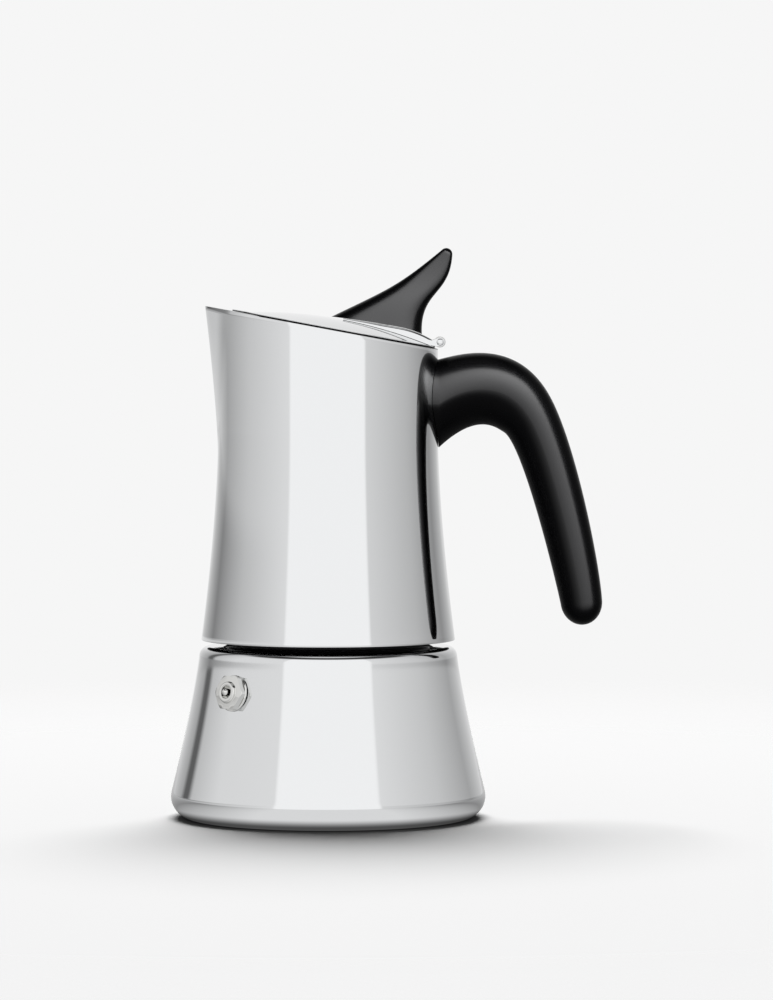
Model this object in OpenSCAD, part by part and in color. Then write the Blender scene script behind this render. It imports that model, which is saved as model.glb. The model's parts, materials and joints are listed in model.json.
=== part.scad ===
// Moka pot: a stovetop coffee maker in drawn stainless steel, as an assembly of its separate pieces.
// Lengths are in millimetres. The origin is on the pot's axis at the level of the table, +Z is up,
// +X points to the handle and -X to the spout.

/* [Boiler] */
// Height of the shoulder above the table
boiler_h = 51.6; // [46:0.1:70]
// Radius of the wall just under the shoulder
shoulder_r = 38.45; // [37:0.05:46]
// How far the wall flares out from the shoulder down to the table
boiler_flare = 10.6; // [3:0.1:16]
// Bend of the flare: 1 is a straight cone and more is a bell
boiler_bend = 1.25; // [1:0.05:2]
// Rounding between the wall and the foot
base_round = 6.5; // [3:0.1:9]
// Rounding of the shoulder
shoulder_round = 3; // [1:0.1:5]
// Thickness of the drawn steel sheet
sheet_t = 0.8; // [0.5:0.1:1.2]
// Height of the boiler's floor above the table
floor_h = 4; // [3:0.1:7]
// Radius of the heat-spreading disc under the boiler
base_plate_r = 39.5; // [25:0.5:40]
// Thickness of the heat-spreading disc
base_plate_t = 3.1; // [1:0.1:3.2]
// Outer radius of the threaded neck
neck_r = 30.5; // [26:0.1:31]
// Height of the neck above the shoulder
neck_h = 11.4; // [9:0.1:16]
// Wall thickness of the neck
neck_t = 1; // [0.8:0.1:1.5]

/* [Safety valve] */
// Height of the valve's centre on the wall
valve_z = 39.4; // [32:0.1:44]
// Direction of the valve round the pot, from the handle
valve_azimuth = 227; // [190:1:350]
// Width of the valve's hexagon across its flats
valve_hex = 9.7; // [8:0.1:12]
// Height of the valve's hexagon
valve_hex_h = 1.9; // [1.5:0.1:4]
// Radius of the valve's shank
valve_shank_r = 3.5; // [3.2:0.1:4]
// Length of the valve's shank inside the wall
valve_shank_l = 8.5; // [8:0.1:12]
// Radius of the test pin
valve_pin_r = 1.1; // [1:0.05:1.4]

/* [Funnel and filter] */
// Gap between the funnel's basket and the neck
basket_gap = 0.9; // [0.5:0.1:2]
// Thickness of the funnel's sheet
funnel_t = 0.6; // [0.4:0.1:1]
// Depth of the basket below the neck's rim
basket_depth = 18.4; // [12:0.1:22]
// Height of the cone between the basket and the stem
funnel_cone_h = 7; // [4:0.1:12]
// Outer radius of the funnel's stem
stem_r = 4; // [3:0.1:6]
// Gap between the stem's end and the boiler's floor
stem_gap = 5; // [3:0.1:10]
// Height of the gasket
gasket_h = 3; // [2.2:0.1:5]
// Inner radius of the gasket
gasket_ri = 25.3; // [22:0.1:26]
// Thickness of the filter plate and the strainer
filter_t = 0.8; // [0.5:0.1:1]
// Radius of the holes in the filter plate and the strainer
filter_hole_r = 0.75; // [0.4:0.05:1]
// Distance between the rings of holes
filter_pitch = 4.4; // [3:0.1:6]

/* [Collector] */
// Gap between the boiler's shoulder and the collector's lower edge
collector_gap = 1.9; // [1:0.1:4]
// Radius of the collector's lower edge
collector_foot_r = 38.1; // [36.5:0.1:44]
// Radius of the collector above its flare
collector_r = 32.95; // [32:0.05:36]
// Height of the flare above the lower edge
collector_flare_h = 61.5; // [40:0.5:75]
// Bend of the flare: 1 is a straight cone and more is a bell
collector_bend = 1.6; // [1.2:0.05:2.5]
// Height of the rim above the lower edge, on the axis
rim_h = 93.3; // [85:0.1:120]
// Slope of the rim, down to the handle
rim_slope = 10.5; // [0:0.5:14]
// How far the spout's tip stands out of the round wall
spout_reach = 3.75; // [2:0.05:8]
// Length of wall over which the spout is drawn out
spout_h = 45.6; // [20:0.1:60]
// Height of the column's end above the collector's floor
column_h = 50; // [30:0.5:60]
// Outer radius of the column's foot
column_r = 5; // [4.5:0.1:7]
// Wall thickness of the column's foot
column_t = 1.7; // [1.2:0.1:2]

/* [Lid and hinge] */
// Thickness of the lid's sheet
lid_t = 0.5; // [0.4:0.1:1]
// Rise of the lid's dome
dome_rise = 3; // [2:0.1:8]
// Radius of the dome's edge
dome_r = 28; // [24:0.5:31]
// Place of the dome's centre, from the axis toward the handle
dome_x = 4; // [0:0.5:6]
// Distance of the lid's front edge from the axis
lid_front = 28.6; // [24:0.1:30]
// Radius of the lid's front edge
lid_front_r = 43.2; // [34:0.1:80]
// Radius of the hinge pin
hinge_pin_r = 0.8; // [0.6:0.05:1.2]
// Height of the hinge pin above the rim
hinge_h = 2.2; // [2:0.1:4]
// Width of the strap that carries the lid
strap_w = 17; // [14:0.5:22]
// Thickness of the strap
strap_t = 0.8; // [0.6:0.1:1]

/* [Knob] */
// Length of the knob's base
knob_l = 27.6; // [20:0.1:34]
// Height of the knob's tip above the front of its base
knob_h = 19.2; // [12:0.1:30]
// Width of the knob's base
knob_w = 15; // [10:0.5:18]
// Width of the knob's tip
knob_tip_w = 3.9; // [3:0.1:8]
// Radius of the knob's screw
knob_screw_r = 1.5; // [1:0.1:2]

/* [Handle] */
// Reach of the handle's tip beyond the collector's wall
handle_reach = 43.2; // [35:0.1:60]
// Fall from the middle of the handle's root to the middle of its tip
handle_fall = 59.9; // [40:0.1:66]
// Distance from the rim down to the middle of the handle's root
handle_drop = 16.5; // [14:0.1:24]
// Width of the handle at its root
handle_root_w = 22; // [16:0.1:26]
// Width of the handle at its tip
handle_tip_w = 14; // [10:0.1:18]
// Radius of the handle's screw
handle_screw_r = 2; // [1.5:0.1:2.5]

/* [Hidden] */

$fn = 96;
wall_steps = 16;
arc_steps = 8;
touch = 0.05;      // gap between pieces that are fixed to each other
running = 0.05;    // radial gap of a shaft that turns or slides
loose = 0.2;       // gap of a piece that is only laid in place
reach = 200;       // longer than the whole pot

steel = "#c9cbcc";
dull_steel = "#a7a9ab";
black = "#1c1c1e";
silicone = "#d9d6cc";
nickel = "#b9b4a6";

// ---- Heights, from the table up
neck_top = boiler_h + neck_h;
flange_top = neck_top + funnel_t;
seat_z = flange_top + gasket_h;
foot_z = boiler_h + collector_gap;
rim_z = foot_z + rim_h;
base_sheet_t = 1.2;
base_cone_h = 4;
column_z = seat_z + base_cone_h;
column_top = seat_z + base_sheet_t + column_h;

function mix(a, b, t) = a + (b - a) * t;
function arc(x, y, r, from, to, n = arc_steps) =
    [for (i = [0:n]) let (a = mix(from, to, i / n)) [x + r * cos(a), y + r * sin(a)]];
function bezier(p, t) = pow(1 - t, 3) * p[0] + 3 * pow(1 - t, 2) * t * p[1]
    + 3 * (1 - t) * t * t * p[2] + pow(t, 3) * p[3];
function signed_pow(v, e) = sign(v) * pow(abs(v), e);

// A closed skin through rings of points that all have the same count
module loft(rings) {
    n = len(rings[0]);
    last = len(rings) - 1;
    points = [for (ring = rings) each ring];
    sides = [for (i = [0:last - 1], j = [0:n - 1])
        let (a = i * n + j, b = i * n + (j + 1) % n, c = a + n, d = b + n) each [[a, c, b], [b, c, d]]];
    ends = [[for (j = [0:n - 1]) j], [for (j = [n - 1:-1:0]) last * n + j]];
    polyhedron(points = points, faces = concat(sides, ends), convexity = 6);
}

// ---- Boiler
function wall_r(z) = shoulder_r + boiler_flare * pow(max(0, 1 - z / boiler_h), boiler_bend);
function wall_lean(z) = atan(boiler_flare * boiler_bend / boiler_h
    * pow(max(0, 1 - z / boiler_h), boiler_bend - 1));

base_lean = wall_lean(base_round);
base_join_z = base_round * (1 + sin(base_lean));
base_arc_x = wall_r(base_join_z) - base_round * cos(base_lean);
shoulder_lean = wall_lean(boiler_h - shoulder_round);
shoulder_arc_z = boiler_h - shoulder_round;
shoulder_join_z = shoulder_arc_z + shoulder_round * sin(shoulder_lean);
shoulder_arc_x = wall_r(shoulder_join_z) - shoulder_round * cos(shoulder_lean);
neck_ri = neck_r - neck_t;
neck_fillet = 1.2;
neck_bevel = 0.4;
floor_round = 3;
plate_r = min(base_plate_r, base_arc_x - touch);

module boiler() {
    wall = [for (i = [1:wall_steps - 1]) mix(base_join_z, shoulder_join_z, i / wall_steps)];
    inner_join = floor_h + floor_round;
    outside = concat(
        [[0, base_plate_t], [plate_r, base_plate_t], [plate_r, 0]],
        arc(base_arc_x, base_round, base_round, -90, base_lean),
        [for (z = wall) [wall_r(z), z]],
        arc(shoulder_arc_x, shoulder_arc_z, shoulder_round, shoulder_lean, 90),
        arc(neck_r + neck_fillet, boiler_h + neck_fillet, neck_fillet, 270, 180, 4),
        [[neck_r, neck_top - neck_bevel], [neck_r - neck_bevel, neck_top], [neck_ri, neck_top]]);
    inside = concat(
        [[neck_ri, boiler_h - sheet_t]],
        arc(shoulder_arc_x, shoulder_arc_z, shoulder_round - sheet_t, 90, shoulder_lean),
        [for (i = [wall_steps - 1:-1:1]) let (z = mix(inner_join, shoulder_join_z, i / wall_steps))
            [wall_r(z) - sheet_t, z]],
        arc(wall_r(inner_join) - sheet_t - floor_round, inner_join, floor_round, 0, -90, 5),
        [[0, floor_h]]);
    color(steel) difference() {
        rotate_extrude() polygon(concat(outside, inside));
        valve_frame() translate([0, 0, -3]) cylinder(h = 6, r = valve_shank_r + touch);
    }
}

module base_plate() {
    color(dull_steel) cylinder(h = base_plate_t, r = plate_r - touch);
}

// ---- Safety valve, along local +Z out of the wall, with z = 0 on the wall
valve_collar_t = 0.7;
valve_chamfer = 30;
valve_recess = 2.4;
valve_boss_r = 3.15;
valve_boss_h = 0.9;
valve_chamber_r = 2.5;
valve_recess_r = 1.9;
valve_guide_l = 2.4;
valve_top = valve_collar_t + valve_hex_h + valve_boss_h;
valve_guide_top = valve_top - valve_recess;
valve_guide_bottom = valve_guide_top - valve_guide_l;
valve_ring_r = valve_hex / 2 + 0.5;
wall_sag = sheet_t + pow(valve_ring_r, 2) / (2 * wall_r(valve_z)) + 0.15;
valve_gasket_t = 1;
valve_nut_t = 2.5;
valve_seat_t = 1.2;
valve_seal_t = 0.7;
valve_poppet_t = 1.5;
valve_poppet_r = valve_chamber_r - 0.4;
valve_seat_top = -valve_shank_l + valve_seat_t;
valve_poppet_z = valve_seat_top + valve_seal_t;
valve_head_out = 1.2;

module valve_frame() {
    rotate([0, 0, valve_azimuth]) translate([wall_r(valve_z), 0, valve_z])
        rotate([0, 90 - wall_lean(valve_z), 0]) children();
}

module hexagon(flats, h) {
    rotate([0, 0, 30]) cylinder(h = h, r = flats / sqrt(3), $fn = 6);
}

module valve_body() {
    face_r = valve_hex / 2 + 0.1;
    color(nickel) valve_frame() difference() {
        union() {
            translate([0, 0, -valve_shank_l])
                cylinder(h = valve_shank_l + valve_collar_t + 0.5, r = valve_shank_r);
            translate([0, 0, valve_collar_t]) intersection() {
                hexagon(valve_hex, valve_hex_h);
                cylinder(h = valve_hex_h, r1 = face_r + valve_hex_h / tan(valve_chamfer), r2 = face_r);
            }
            translate([0, 0, valve_collar_t + 1])
                cylinder(h = valve_hex_h + valve_boss_h - 1, r = valve_boss_r);
        }
        translate([0, 0, -valve_shank_l - 1])
            cylinder(h = valve_shank_l + 1 + valve_guide_bottom, r = valve_chamber_r);
        translate([0, 0, valve_guide_bottom - 1]) cylinder(h = reach, r = valve_pin_r + running);
        translate([0, 0, valve_guide_top]) cylinder(h = reach, r = valve_recess_r);
    }
}

module valve_ring(from, to, r) {
    valve_frame() translate([0, 0, from]) difference() {
        cylinder(h = to - from, r = r);
        translate([0, 0, -1]) cylinder(h = to - from + 2, r = valve_shank_r + touch);
    }
}

module valve_washer() {
    color(nickel) valve_ring(touch, valve_collar_t, valve_ring_r);
}

module valve_gasket() {
    color(silicone) valve_ring(-wall_sag - valve_gasket_t, -wall_sag, valve_ring_r);
}

module valve_nut() {
    top = -wall_sag - valve_gasket_t;
    color(nickel) valve_frame() translate([0, 0, top - valve_nut_t]) difference() {
        hexagon(valve_hex, valve_nut_t);
        translate([0, 0, -1]) cylinder(h = valve_nut_t + 2, r = valve_shank_r + touch);
    }
}

module valve_seat() {
    color(nickel) valve_frame() translate([0, 0, -valve_shank_l]) difference() {
        cylinder(h = valve_seat_t, r = valve_chamber_r - touch);
        translate([0, 0, -1]) cylinder(h = valve_seat_t + 2, r = 1);
    }
}

module valve_pin() {
    stem_top = valve_top + valve_head_out - valve_pin_r;
    color(steel) valve_frame() {
        translate([0, 0, valve_poppet_z]) cylinder(h = valve_poppet_t, r = valve_poppet_r);
        translate([0, 0, valve_poppet_z]) cylinder(h = stem_top - valve_poppet_z, r = valve_pin_r);
        translate([0, 0, stem_top]) sphere(r = valve_pin_r, $fn = 48);
    }
}

module valve_seal() {
    color(silicone) valve_frame() translate([0, 0, valve_seat_top])
        cylinder(h = valve_seal_t, r = valve_poppet_r);
}

module valve_spring() {
    wire = 0.22;
    coil_r = (valve_pin_r + valve_chamber_r) / 2;
    from = valve_poppet_z + valve_poppet_t + wire + touch;
    to = valve_guide_bottom - wire - touch;
    turns = 4;
    steps = 14 * turns;
    sides = 6;
    color(dull_steel) valve_frame() loft([for (i = [0:steps]) let (a = 360 * turns * i / steps)
        [for (j = [0:sides - 1]) let (b = -360 * j / sides, r = coil_r + wire * cos(b))
            [r * cos(a), r * sin(a), mix(from, to, i / steps) + wire * sin(b)]]]);
}

// ---- Funnel, filter and gasket
basket_r = neck_ri - basket_gap;
basket_z = neck_top - basket_depth;
strainer_ledge = 1.8;
stem_z = floor_h + stem_gap;
stem_top = basket_z - funnel_cone_h;
filter_rim_r = gasket_ri + 2.1;
gasket_r = neck_r + 0.1;
filter_z = seat_z - filter_t;
filter_rings = 5;

module funnel() {
    t = funnel_t;
    color(steel) rotate_extrude() polygon([
        [stem_r - t, stem_z], [stem_r, stem_z], [stem_r, stem_top], [basket_r - strainer_ledge, basket_z],
        [basket_r, basket_z], [basket_r, neck_top], [neck_r - 0.3, neck_top], [neck_r - 0.3, flange_top],
        [basket_r - t, flange_top], [basket_r - t, basket_z + t],
        [basket_r - strainer_ledge - t, basket_z + t], [stem_r - t, stem_top + t]]);
}

// A round plate with rings of holes round a middle one
module perforated_disc(r, t) {
    difference() {
        cylinder(h = t, r = r);
        for (ring = [0:filter_rings], i = [0:max(0, 6 * ring - 1)])
            rotate([0, 0, i * 60 / max(1, ring)]) translate([ring * filter_pitch, 0, -1])
                cylinder(h = t + 2, r = filter_hole_r, $fn = 24);
    }
}

module funnel_strainer() {
    color(steel) translate([0, 0, basket_z + funnel_t])
        perforated_disc(basket_r - funnel_t - touch, filter_t);
}

module gasket() {
    color(silicone) rotate_extrude() polygon([[gasket_ri, flange_top], [gasket_r, flange_top],
        [gasket_r, seat_z], [filter_rim_r + touch, seat_z], [filter_rim_r + touch, filter_z - touch],
        [gasket_ri, filter_z - touch]]);
}

module filter_plate() {
    color(steel) translate([0, 0, filter_z]) perforated_disc(filter_rim_r, filter_t);
}

// ---- Collector
spout_sharp = 0.05;
spout_soft = 0.12;
around = 72;
up = 14;
rim_tries = 4;

function collector_wall_r(z) = collector_r + (collector_foot_r - collector_r)
    * pow(max(0, 1 - (z - foot_z) / collector_flare_h), collector_bend);
function rim_height(x) = rim_z - x * tan(rim_slope);
tip_x = -collector_r - spout_reach;
tip_z = rim_height(tip_x);
function spout_share(z) = pow(max(0, 1 - (tip_z - z) / spout_h), 1.4);

// Radius of the wall at an angle from the spout: the tangents from the spout's ridge to the round wall
function collector_polar_r(angle, z) =
    let (r = collector_wall_r(z), ridge = r + spout_reach * spout_share(z),
         open = acos(r / ridge), rad = PI / 180,
         away = sqrt(pow(angle * rad, 2) + pow(spout_sharp, 2)) - spout_sharp,
         left = open * rad - away, soft = spout_soft * open / 26)
    r / cos((left + sqrt(left * left + soft * soft)) / 2 / rad);

function rim_point_z(angle, z, inset, times) = times == 0 ? z :
    rim_point_z(angle, rim_height(-(collector_polar_r(angle, z) - inset) * cos(angle)), inset, times - 1);

function collector_ring(share, inset) = [for (j = [0:around - 1])
    let (angle = 360 * j / around - 180, top = rim_point_z(angle, tip_z, inset, rim_tries),
         z = mix(foot_z, top, share), r = collector_polar_r(angle, z) - inset)
    [-r * cos(angle), -r * sin(angle), z]];

module collector() {
    outside = [for (i = [0:up]) collector_ring(i / up, 0)];
    inside = [for (i = [up:-1:0]) collector_ring(i / up, sheet_t)];
    rings = concat(outside, inside);
    n = around;
    total = len(rings);
    faces = [for (i = [0:total - 1], j = [0:n - 1])
        let (next = (i + 1) % total, a = i * n + j, b = i * n + (j + 1) % n,
             c = next * n + j, d = next * n + (j + 1) % n) each [[a, c, b], [b, c, d]]];
    color(steel) polyhedron(points = [for (ring = rings) each ring], faces = faces, convexity = 6);
}

// ---- Floor of the collector, with its column
skirt_gap = 0.8;
skirt_t = 2;
skirt_ri = neck_r + skirt_gap;
skirt_z = foot_z + 1;
base_top_z = seat_z + base_sheet_t;
base_flange_r = collector_wall_r(base_top_z) - sheet_t - touch - 0.05;
column_ri = column_r - column_t;
column_tip_r = column_r - 0.7;
collar_t = 1;
collar_h = 3;
cap_lap = 6;
cap_h = 7;
cap_t = 0.8;
outlet_r = 1.8;

module collector_base() {
    collar_ri = column_r + touch;
    color(steel) rotate_extrude() polygon([
        [collar_ri, column_z], [gasket_ri - 0.8, seat_z], [skirt_ri, seat_z], [skirt_ri, skirt_z],
        [skirt_ri + skirt_t, skirt_z], [skirt_ri + skirt_t, seat_z], [base_flange_r, seat_z],
        [base_flange_r, base_top_z], [gasket_ri, base_top_z],
        [collar_ri + collar_t, column_z + base_sheet_t], [collar_ri + collar_t, column_z + collar_h],
        [collar_ri, column_z + collar_h]]);
}

module column() {
    color(steel) rotate_extrude() polygon([[column_ri, column_z], [column_r, column_z],
        [column_r, column_z + collar_h + 2], [column_tip_r, column_top - cap_lap - 2],
        [column_tip_r, column_top], [column_ri, column_top]]);
}

module column_cap() {
    ri = column_tip_r + touch;
    ro = ri + cap_t;
    top = column_top + cap_h - ro;
    color(steel) difference() {
        rotate_extrude() polygon(concat([[ri, column_top - cap_lap], [ro, column_top - cap_lap]],
            arc(0, top, ro, 0, 90), arc(0, top, ri, 90, 0)));
        translate([0, reach / 2, column_top + outlet_r]) rotate([90, 0, 0])
            cylinder(h = reach, r = outlet_r);
    }
}

// ---- Lid and hinge. The rim's own frame has z = 0 on the rim and x along its slope
hinge_gap = 0.55;
hinge_x = collector_r + hinge_gap;
hinge_z = rim_height(hinge_x) + hinge_h;
knuckle_r = hinge_pin_r + 0.85;
knuckle_l = strap_w - 2 * strap_t - 2 * 0.3;
leaf_w = 11;
leaf_h = 9;
leaf_t = 0.8;
leaf_top = 0.2;
leaf_bridge = 1;
leaf_r = collector_r - sheet_t - 0.1;
ear_r = hinge_pin_r + 0.6;
pin_head_r = hinge_pin_r + 0.3;
pin_head_t = 0.5;
lid_gap = 0.05;
lid_edge = 0.1;
notch_x = leaf_r - leaf_t - 0.5;
dome_sphere_r = (pow(dome_r, 2) + pow(dome_rise, 2)) / (2 * dome_rise);
dome_angle = asin(dome_r / dome_sphere_r);
strap_from = 4;
strap_top = dome_rise + lid_t + 0.8;
strap_peak_x = 21;
strap_front_r = 330;
strap_back_r = 28;
strap_end = hinge_x - knuckle_r - 0.8;

module rim_frame() {
    translate([0, 0, rim_z]) rotate([0, rim_slope, 0]) children();
}

module lid_outline() {
    intersection() {
        cylinder(h = reach * 2, r = collector_r - lid_edge);
        translate([lid_front_r - lid_front, 0, 0]) cylinder(h = reach * 2, r = lid_front_r);
    }
}

function dome_top(x, y) = let (u = norm([x - dome_x, y]))
    sqrt(pow(dome_sphere_r, 2) - u * u) - dome_sphere_r + dome_rise + lid_t + lid_gap;

module lid() {
    low = lid_gap;
    outer_z = low + lid_t + dome_rise - dome_sphere_r;
    inner_z = outer_z - lid_t;
    color(steel) difference() {
        intersection() {
            lid_outline();
            rim_frame() translate([dome_x, 0, 0]) rotate_extrude() polygon(concat(
                [[2 * dome_r, low], [2 * dome_r, low + lid_t]],
                arc(0, outer_z, dome_sphere_r, 90 - dome_angle, 90, 16),
                arc(0, inner_z, dome_sphere_r, 90, 90 - dome_angle, 16)));
        }
        translate([notch_x, -knuckle_l / 2 - 0.3, 0]) cube([reach, knuckle_l + 0.6, reach * 2]);
        knob_screw_frame() cylinder(h = 40, r = knob_screw_r + 2 * touch, center = true);
    }
}

// Height of the strap's top over the rim, and its side outline from the knob to the pin
function strap_z(x) = let (r = x < strap_peak_x ? strap_front_r : strap_back_r)
    strap_top - pow(x - strap_peak_x, 2) / (2 * r);
pin_place = [hinge_x / cos(rim_slope) - (hinge_z - rim_height(hinge_x)) * sin(rim_slope),
    (hinge_z - rim_height(hinge_x)) * cos(rim_slope)];

module across(w) {
    rotate([90, 0, 0]) linear_extrude(height = w, center = true) children();
}

// A top plate with a flange down each side, which grow into the ears that hold the pin
module lid_strap() {
    steps = 12;
    flange_y = strap_w / 2 - strap_t;
    places = [for (i = [0:steps]) mix(strap_from, strap_end, i / steps)];
    upper = [for (x = places) [x, strap_z(x)]];
    plate_under = [for (i = [steps:-1:0]) let (x = places[i])
        [x, max(strap_z(x) - strap_t, dome_top(x, 0) + touch)]];
    flange_under = [for (i = [steps:-1:0]) let (x = places[i])
        [x, max(lid_t + lid_gap, dome_top(x, flange_y)) + touch]];
    ear = [pin_place + [-0.6, ear_r - 0.15], pin_place, [pin_place[0] + 0.4, lid_t + 0.3],
        [pin_place[0] - 1, lid_t + 0.3]];
    color(steel) difference() {
        rim_frame() {
            across(strap_w) polygon(concat(upper, plate_under));
            for (side = [-1, 1]) translate([0, side * (strap_w - strap_t) / 2, 0]) across(strap_t) {
                polygon(concat(upper, ear, flange_under));
                translate(pin_place) circle(r = ear_r);
            }
        }
        hinge_frame() cylinder(h = reach, r = hinge_pin_r + running, center = true);
        knob_screw_frame() cylinder(h = 40, r = knob_screw_r + 2 * touch, center = true);
    }
}

// Local +Z along the hinge
module hinge_frame() {
    translate([hinge_x, 0, hinge_z]) rotate([90, 0, 0]) children();
}

module hinge_bracket() {
    color(steel) difference() {
        union() {
            intersection() {
                difference() {
                    cylinder(h = reach * 2, r = leaf_r);
                    translate([0, 0, -1]) cylinder(h = reach * 2 + 2, r = leaf_r - leaf_t);
                }
                translate([0, -leaf_w / 2, rim_height(collector_r) - leaf_h])
                    cube([reach, leaf_w, hinge_z - leaf_top - rim_height(collector_r) + leaf_h]);
            }
            translate([leaf_r - leaf_t, -leaf_w / 2, hinge_z - leaf_top - leaf_bridge])
                cube([hinge_x - leaf_r + leaf_t, leaf_w, leaf_bridge]);
            hinge_frame() cylinder(h = knuckle_l, r = knuckle_r, center = true);
        }
        hinge_frame() cylinder(h = reach, r = hinge_pin_r + touch, center = true);
    }
}

module hinge_pin() {
    half = strap_w / 2 + touch;
    color(steel) hinge_frame() {
        cylinder(h = 2 * half, r = hinge_pin_r, center = true);
        for (side = [0, 1]) mirror([0, 0, side]) translate([0, 0, half])
            cylinder(h = pin_head_t, r1 = pin_head_r, r2 = pin_head_r - 0.35);
    }
}

// ---- Knob: a horn that stands on the strap and leans back over the hinge
knob_from = 0.35;
knob_screw_x = 16;
knob_bend = 3;
knob_sides = 32;
knob_rings = 12;
knob_cap_rings = 4;
knob_cap_turn = 24;
knob_screw_l = 12;
seat_over = 9;
knob_head_r = 3;
knob_head_t = 2;
knob_washer_r = 3.6;
knob_washer_t = 0.5;
washer_drop = 0.45;

// Local +Z up out of the knob's base, with z = 0 on the base
module knob_screw_frame() {
    rim_frame() translate([knob_screw_x, 0, strap_z(knob_screw_x) + touch]) children();
}

function rim_to_world(x, z) = [x * cos(rim_slope) + z * sin(rim_slope),
    rim_z - x * sin(rim_slope) + z * cos(rim_slope)];
function knob_seat(x) = strap_z(x) + touch;
knob_front = rim_to_world(knob_from, knob_seat(knob_from));
knob_back = rim_to_world(knob_from + knob_l, knob_seat(knob_from + knob_l));

// The horn's front and back outlines, seen from the side
function knob_place(along, up) = knob_front + [along * knob_l, up * knob_h];
knob_front_curve = [knob_front, knob_place(0.614, 0.429), knob_place(0.706, 0.457),
    knob_place(1.204, 1.048)];
knob_back_curve = [knob_back, knob_place(0.96, 0.409), knob_place(1.287, 0.315),
    knob_place(1.312, 0.969)];

// One ring of the horn, between a front and a back point, or a ring of its rounded tip
function knob_ring(front, back, half_w, turn = knob_cap_turn) =
    let (mid = (front + back) / 2, along = (back - front) / 2, shrink = cos(turn) / cos(knob_cap_turn),
         up_way = [-along[1], along[0]] * (sin(turn) - sin(knob_cap_turn)) / cos(knob_cap_turn))
    [for (j = [0:knob_sides - 1])
        let (a = 360 * j / knob_sides,
             p = mid + along * signed_pow(cos(a), 2 / knob_bend) * shrink + up_way)
        [p[0], half_w * signed_pow(sin(a), 2 / knob_bend) * shrink, p[1]]];

module knob() {
    steps = 16;
    tip = [knob_front_curve[3], knob_back_curve[3]];
    rings = concat(
        [for (i = [0:knob_rings]) let (t = i / knob_rings)
            knob_ring(bezier(knob_front_curve, t), bezier(knob_back_curve, t),
                mix(knob_w, knob_tip_w, pow(t, 0.9)) / 2)],
        [for (i = [1:knob_cap_rings])
            knob_ring(tip[0], tip[1], knob_tip_w / 2, mix(knob_cap_turn, 84, i / knob_cap_rings))]);
    color(black) difference() {
        loft(rings);
        rim_frame() across(knob_w + 2) polygon(concat([[knob_l + seat_over, 0], [-seat_over, 0]],
            [for (i = [0:steps]) let (x = mix(-seat_over, knob_l + seat_over, i / steps)) [x, knob_seat(x)]]));
        knob_screw_frame() translate([0, 0, -1]) cylinder(h = knob_screw_l - 3, r = knob_screw_r + touch);
    }
}

module knob_screw() {
    head_z = knob_screw_head_z();
    color(dull_steel) knob_screw_frame() {
        translate([0, 0, head_z - knob_head_t]) cylinder(h = knob_head_t, r = knob_head_r);
        translate([0, 0, head_z - touch]) cylinder(h = knob_screw_l - 5 - head_z, r = knob_screw_r);
    }
}

// The screw's head lies under the lid's sheet
function lid_underside() = dome_top(knob_screw_x, 0) - lid_t - strap_z(knob_screw_x);
function knob_screw_head_z() = lid_underside() - washer_drop - knob_washer_t;

module knob_washer() {
    color(dull_steel) knob_screw_frame() translate([0, 0, knob_screw_head_z() + touch / 2]) difference() {
        cylinder(h = knob_washer_t - touch / 2, r = knob_washer_r);
        translate([0, 0, -1]) cylinder(h = knob_washer_t + 2, r = knob_screw_r + touch);
    }
}

// ---- Handle: a hook between an outer and an inner outline, of two curves each
handle_sides = 28;
handle_rings = 9;
handle_cap_rings = 5;
handle_lead = 9;
handle_tip_round = 1.13;      // length of the tip's dome, as a share of half its height
handle_root_z = rim_height(collector_r) - handle_drop;
handle_root = [collector_r, handle_root_z];
function handle_place(out, up) = handle_root + [out * handle_reach, up * handle_fall];
handle_outer = [
    [handle_place(0, 0.223), handle_place(0.124, 0.243), handle_place(0.54, 0.348),
        handle_place(0.777, 0.039)],
    [handle_place(0.777, 0.039), handle_place(0.952, -0.188), handle_place(1.119, -0.777),
        handle_place(1.14, -0.976)]];
handle_inner = [
    [handle_place(0.009, -0.216), handle_place(0.276, -0.036), handle_place(0.405, -0.119),
        handle_place(0.455, -0.14)],
    [handle_place(0.455, -0.14), handle_place(0.584, -0.193), handle_place(0.808, -0.854),
        handle_place(0.852, -1.001)]];

// A ring between the outlines, at a share of the handle's length; the inner side is drawn to a soft ridge
handle_outer_bend = 2.3;
handle_root_bend = 1.3;
handle_tip_bend = 1.8;
function handle_ring(outer, inner, share, shrink) =
    let (middle = (outer + inner) / 2, along = (outer - inner) / 2,
         half_w = mix(handle_root_w, handle_tip_w, share) / 2)
    [for (j = [0:handle_sides - 1])
        let (a = 360 * j / handle_sides,
             bend = sin(a) > 0 ? handle_outer_bend : mix(handle_root_bend, handle_tip_bend, share),
             p = middle + along * signed_pow(sin(a), 2 / bend) * shrink)
        [p[0], half_w * signed_pow(cos(a), 2 / bend) * shrink, p[1]]];

module handle_shape() {
    root_outer = handle_outer[0][0] - [handle_lead, 0];
    root_inner = handle_inner[0][0] - [handle_lead, 0];
    outer_tip = handle_outer[1][3];
    inner_tip = handle_inner[1][3];
    half = (outer_tip - inner_tip) / 2;
    onward = [half[1], -half[0]] * handle_tip_round;
    loft(concat(
        [handle_ring(root_outer, root_inner, 0, 1)],
        [for (k = [0, 1], i = [k:handle_rings]) let (t = i / handle_rings)
            handle_ring(bezier(handle_outer[k], t), bezier(handle_inner[k], t), (k + t) / 2, 1)],
        [for (i = [1:handle_cap_rings]) let (a = 84 * i / handle_cap_rings, on = onward * sin(a))
            handle_ring(outer_tip + on, inner_tip + on, 1, cos(a))]));
}

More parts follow.
